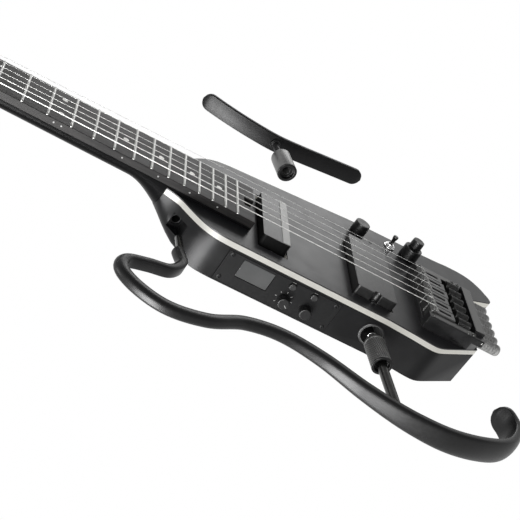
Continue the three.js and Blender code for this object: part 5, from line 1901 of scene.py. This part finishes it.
@dataclass(frozen=True)
class Studio:
    """Camera, lamps, sky and floor."""

    camera_place: tuple[float, float, float] = (-0.39237, -0.74920, 0.38668)
    forward: tuple[float, float, float] = (0.29620, 0.85116, -0.43335)
    right: tuple[float, float, float] = (0.85371, -0.03247, 0.51974)
    lens: float = 76.75
    floor: float = -3.0
    sky_light: float = 0.68
    fade: tuple[float, float] = (0.42, 0.72)
    overhead: float = 0.4
    floor_reach: float = 12.0
    floor_glow: float = 1.02
    floor_share: float = 0.95
    aim: tuple[float, float, float] = (-0.1, 0.0, 0.02)
    lamps: tuple[Lamp, ...] = (
        Lamp("key", (0.12, 1.55, 0.72), (0.95, 0.5), 5.0, gloss_only=False),
        Lamp("front", (-1.73, -3.75, -0.25), (1.85, 5.0), 1200.0),
        Lamp("low", (-0.69, -1.35, -1.5), (0.9, 0.9), 90.0),
        Lamp("left", (-2.2, 0.0, -0.3), (0.6, 1.0), 12.0),
    )

    def camera(self) -> None:
        """Makes the camera first, turned by its own three axes."""
        data = bpy.data.cameras.new("view")
        data.lens = self.lens
        data.sensor_width = 36.0
        data.clip_start = 0.01
        data.clip_end = 50.0
        eye = bpy.data.objects.new("view", data)
        bpy.context.scene.collection.objects.link(eye)
        x = Vector(self.right).normalized()
        z = -Vector(self.forward).normalized()
        y = z.cross(x).normalized()
        x = y.cross(z)
        eye.matrix_world = Matrix((
            (x.x, y.x, z.x, self.camera_place[0]), (x.y, y.y, z.y, self.camera_place[1]),
            (x.z, y.z, z.z, self.camera_place[2]), (0, 0, 0, 1),
        ))
        bpy.context.scene.camera = eye

    def shown(self, tree: bpy.types.NodeTree) -> bpy.types.NodeSocket:
        """A mask that is 1 for rays from the camera, off gloss and through glass.

        Args:
            tree: the node tree that it is made in.
        Returns:
            The mask's socket.
        """
        path = tree.nodes.new("ShaderNodeLightPath")
        total = tree.nodes.new("ShaderNodeMath")
        total.operation = "MAXIMUM"
        tree.links.new(path.outputs["Is Camera Ray"], total.inputs[0])
        tree.links.new(path.outputs["Is Glossy Ray"], total.inputs[1])
        every = tree.nodes.new("ShaderNodeMath")
        every.operation = "MAXIMUM"
        tree.links.new(total.outputs[0], every.inputs[0])
        tree.links.new(path.outputs["Is Transmission Ray"], every.inputs[1])
        return every.outputs[0]

    def sky(self) -> None:
        """A world that is white round the horizon and grey overhead for what is seen and
        mirrored, and a plain one for light."""
        world = bpy.data.worlds.new("studio")
        world.use_nodes = True
        bpy.context.scene.world = world
        tree = world.node_tree
        back = tree.nodes["Background"]
        back.inputs["Color"].default_value = (1, 1, 1, 1)
        back.inputs["Strength"].default_value = self.sky_light
        place = tree.nodes.new("ShaderNodeTexCoord")
        parts = tree.nodes.new("ShaderNodeSeparateXYZ")
        tree.links.new(place.outputs["Generated"], parts.inputs[0])
        fade = tree.nodes.new("ShaderNodeMapRange")
        fade.interpolation_type = "SMOOTHSTEP"
        fade.inputs["From Min"].default_value = self.fade[0]
        fade.inputs["From Max"].default_value = self.fade[1]
        fade.inputs["To Min"].default_value = 1.0
        fade.inputs["To Max"].default_value = self.overhead
        tree.links.new(parts.outputs["Z"], fade.inputs["Value"])
        seen = tree.nodes.new("ShaderNodeBackground")
        seen.inputs["Color"].default_value = (1, 1, 1, 1)
        tree.links.new(fade.outputs["Result"], seen.inputs["Strength"])
        mix = tree.nodes.new("ShaderNodeMixShader")
        tree.links.new(self.shown(tree), mix.inputs[0])
        tree.links.new(back.outputs[0], mix.inputs[1])
        tree.links.new(seen.outputs[0], mix.inputs[2])
        tree.links.new(mix.outputs[0], tree.nodes["World Output"].inputs[0])

    def ground(self) -> None:
        """A wide pale floor, far under the guitar, that shows white."""
        mesh = bpy.data.meshes.new("floor")
        reach = self.floor_reach
        corners = [(-reach, -reach), (reach, -reach), (reach, reach), (-reach, reach)]
        mesh.from_pydata([(x, y, self.floor) for x, y in corners], [], [(0, 1, 2, 3)])
        floor = bpy.data.objects.new("floor", mesh)
        bpy.context.scene.collection.objects.link(floor)
        material = bpy.data.materials.new("pale floor")
        material.use_nodes = True
        tree = material.node_tree
        shader = tree.nodes["Principled BSDF"]
        shader.inputs["Base Color"].default_value = (0.9, 0.9, 0.9, 1)
        shader.inputs["Roughness"].default_value = 0.9
        shader.inputs["Specular IOR Level"].default_value = 0.0
        glow = tree.nodes.new("ShaderNodeEmission")
        glow.inputs["Strength"].default_value = self.floor_glow
        share = tree.nodes.new("ShaderNodeMath")
        share.operation = "MULTIPLY"
        share.inputs[1].default_value = self.floor_share
        tree.links.new(self.shown(tree), share.inputs[0])
        mix = tree.nodes.new("ShaderNodeMixShader")
        tree.links.new(share.outputs[0], mix.inputs[0])
        tree.links.new(shader.outputs[0], mix.inputs[1])
        tree.links.new(glow.outputs[0], mix.inputs[2])
        tree.links.new(mix.outputs[0], tree.nodes["Material Output"].inputs[0])
        mesh.materials.append(material)

    def build(self) -> None:
        """Makes the light and the floor, and sets how the picture is shown."""
        self.sky()
        self.ground()
        for lamp in self.lamps:
            lamp.build(self.aim)
        bpy.context.scene.view_settings.view_transform = "Standard"


def main() -> None:
    """Builds the picture: camera, sub-assemblies in order, then light."""
    logging.basicConfig(level=logging.INFO, format="%(message)s")
    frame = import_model()
    studio = Studio()
    studio.camera()
    bench = Bench(frame)
    for part in (
        Shell(), Neck(), StringSet(), Pickups(), Bridge(), TopControls(), SidePanel(), ArmSupport(),
        LegSupport(), Jack(),
    ):
        before = set(bpy.data.objects)
        part.build(bench)
        made = sorted(o.name for o in set(bpy.data.objects) - before)
        LOG.info("%s: %s", type(part).__name__, ", ".join(made))
    studio.build()


if __name__ == "__main__":
    main()
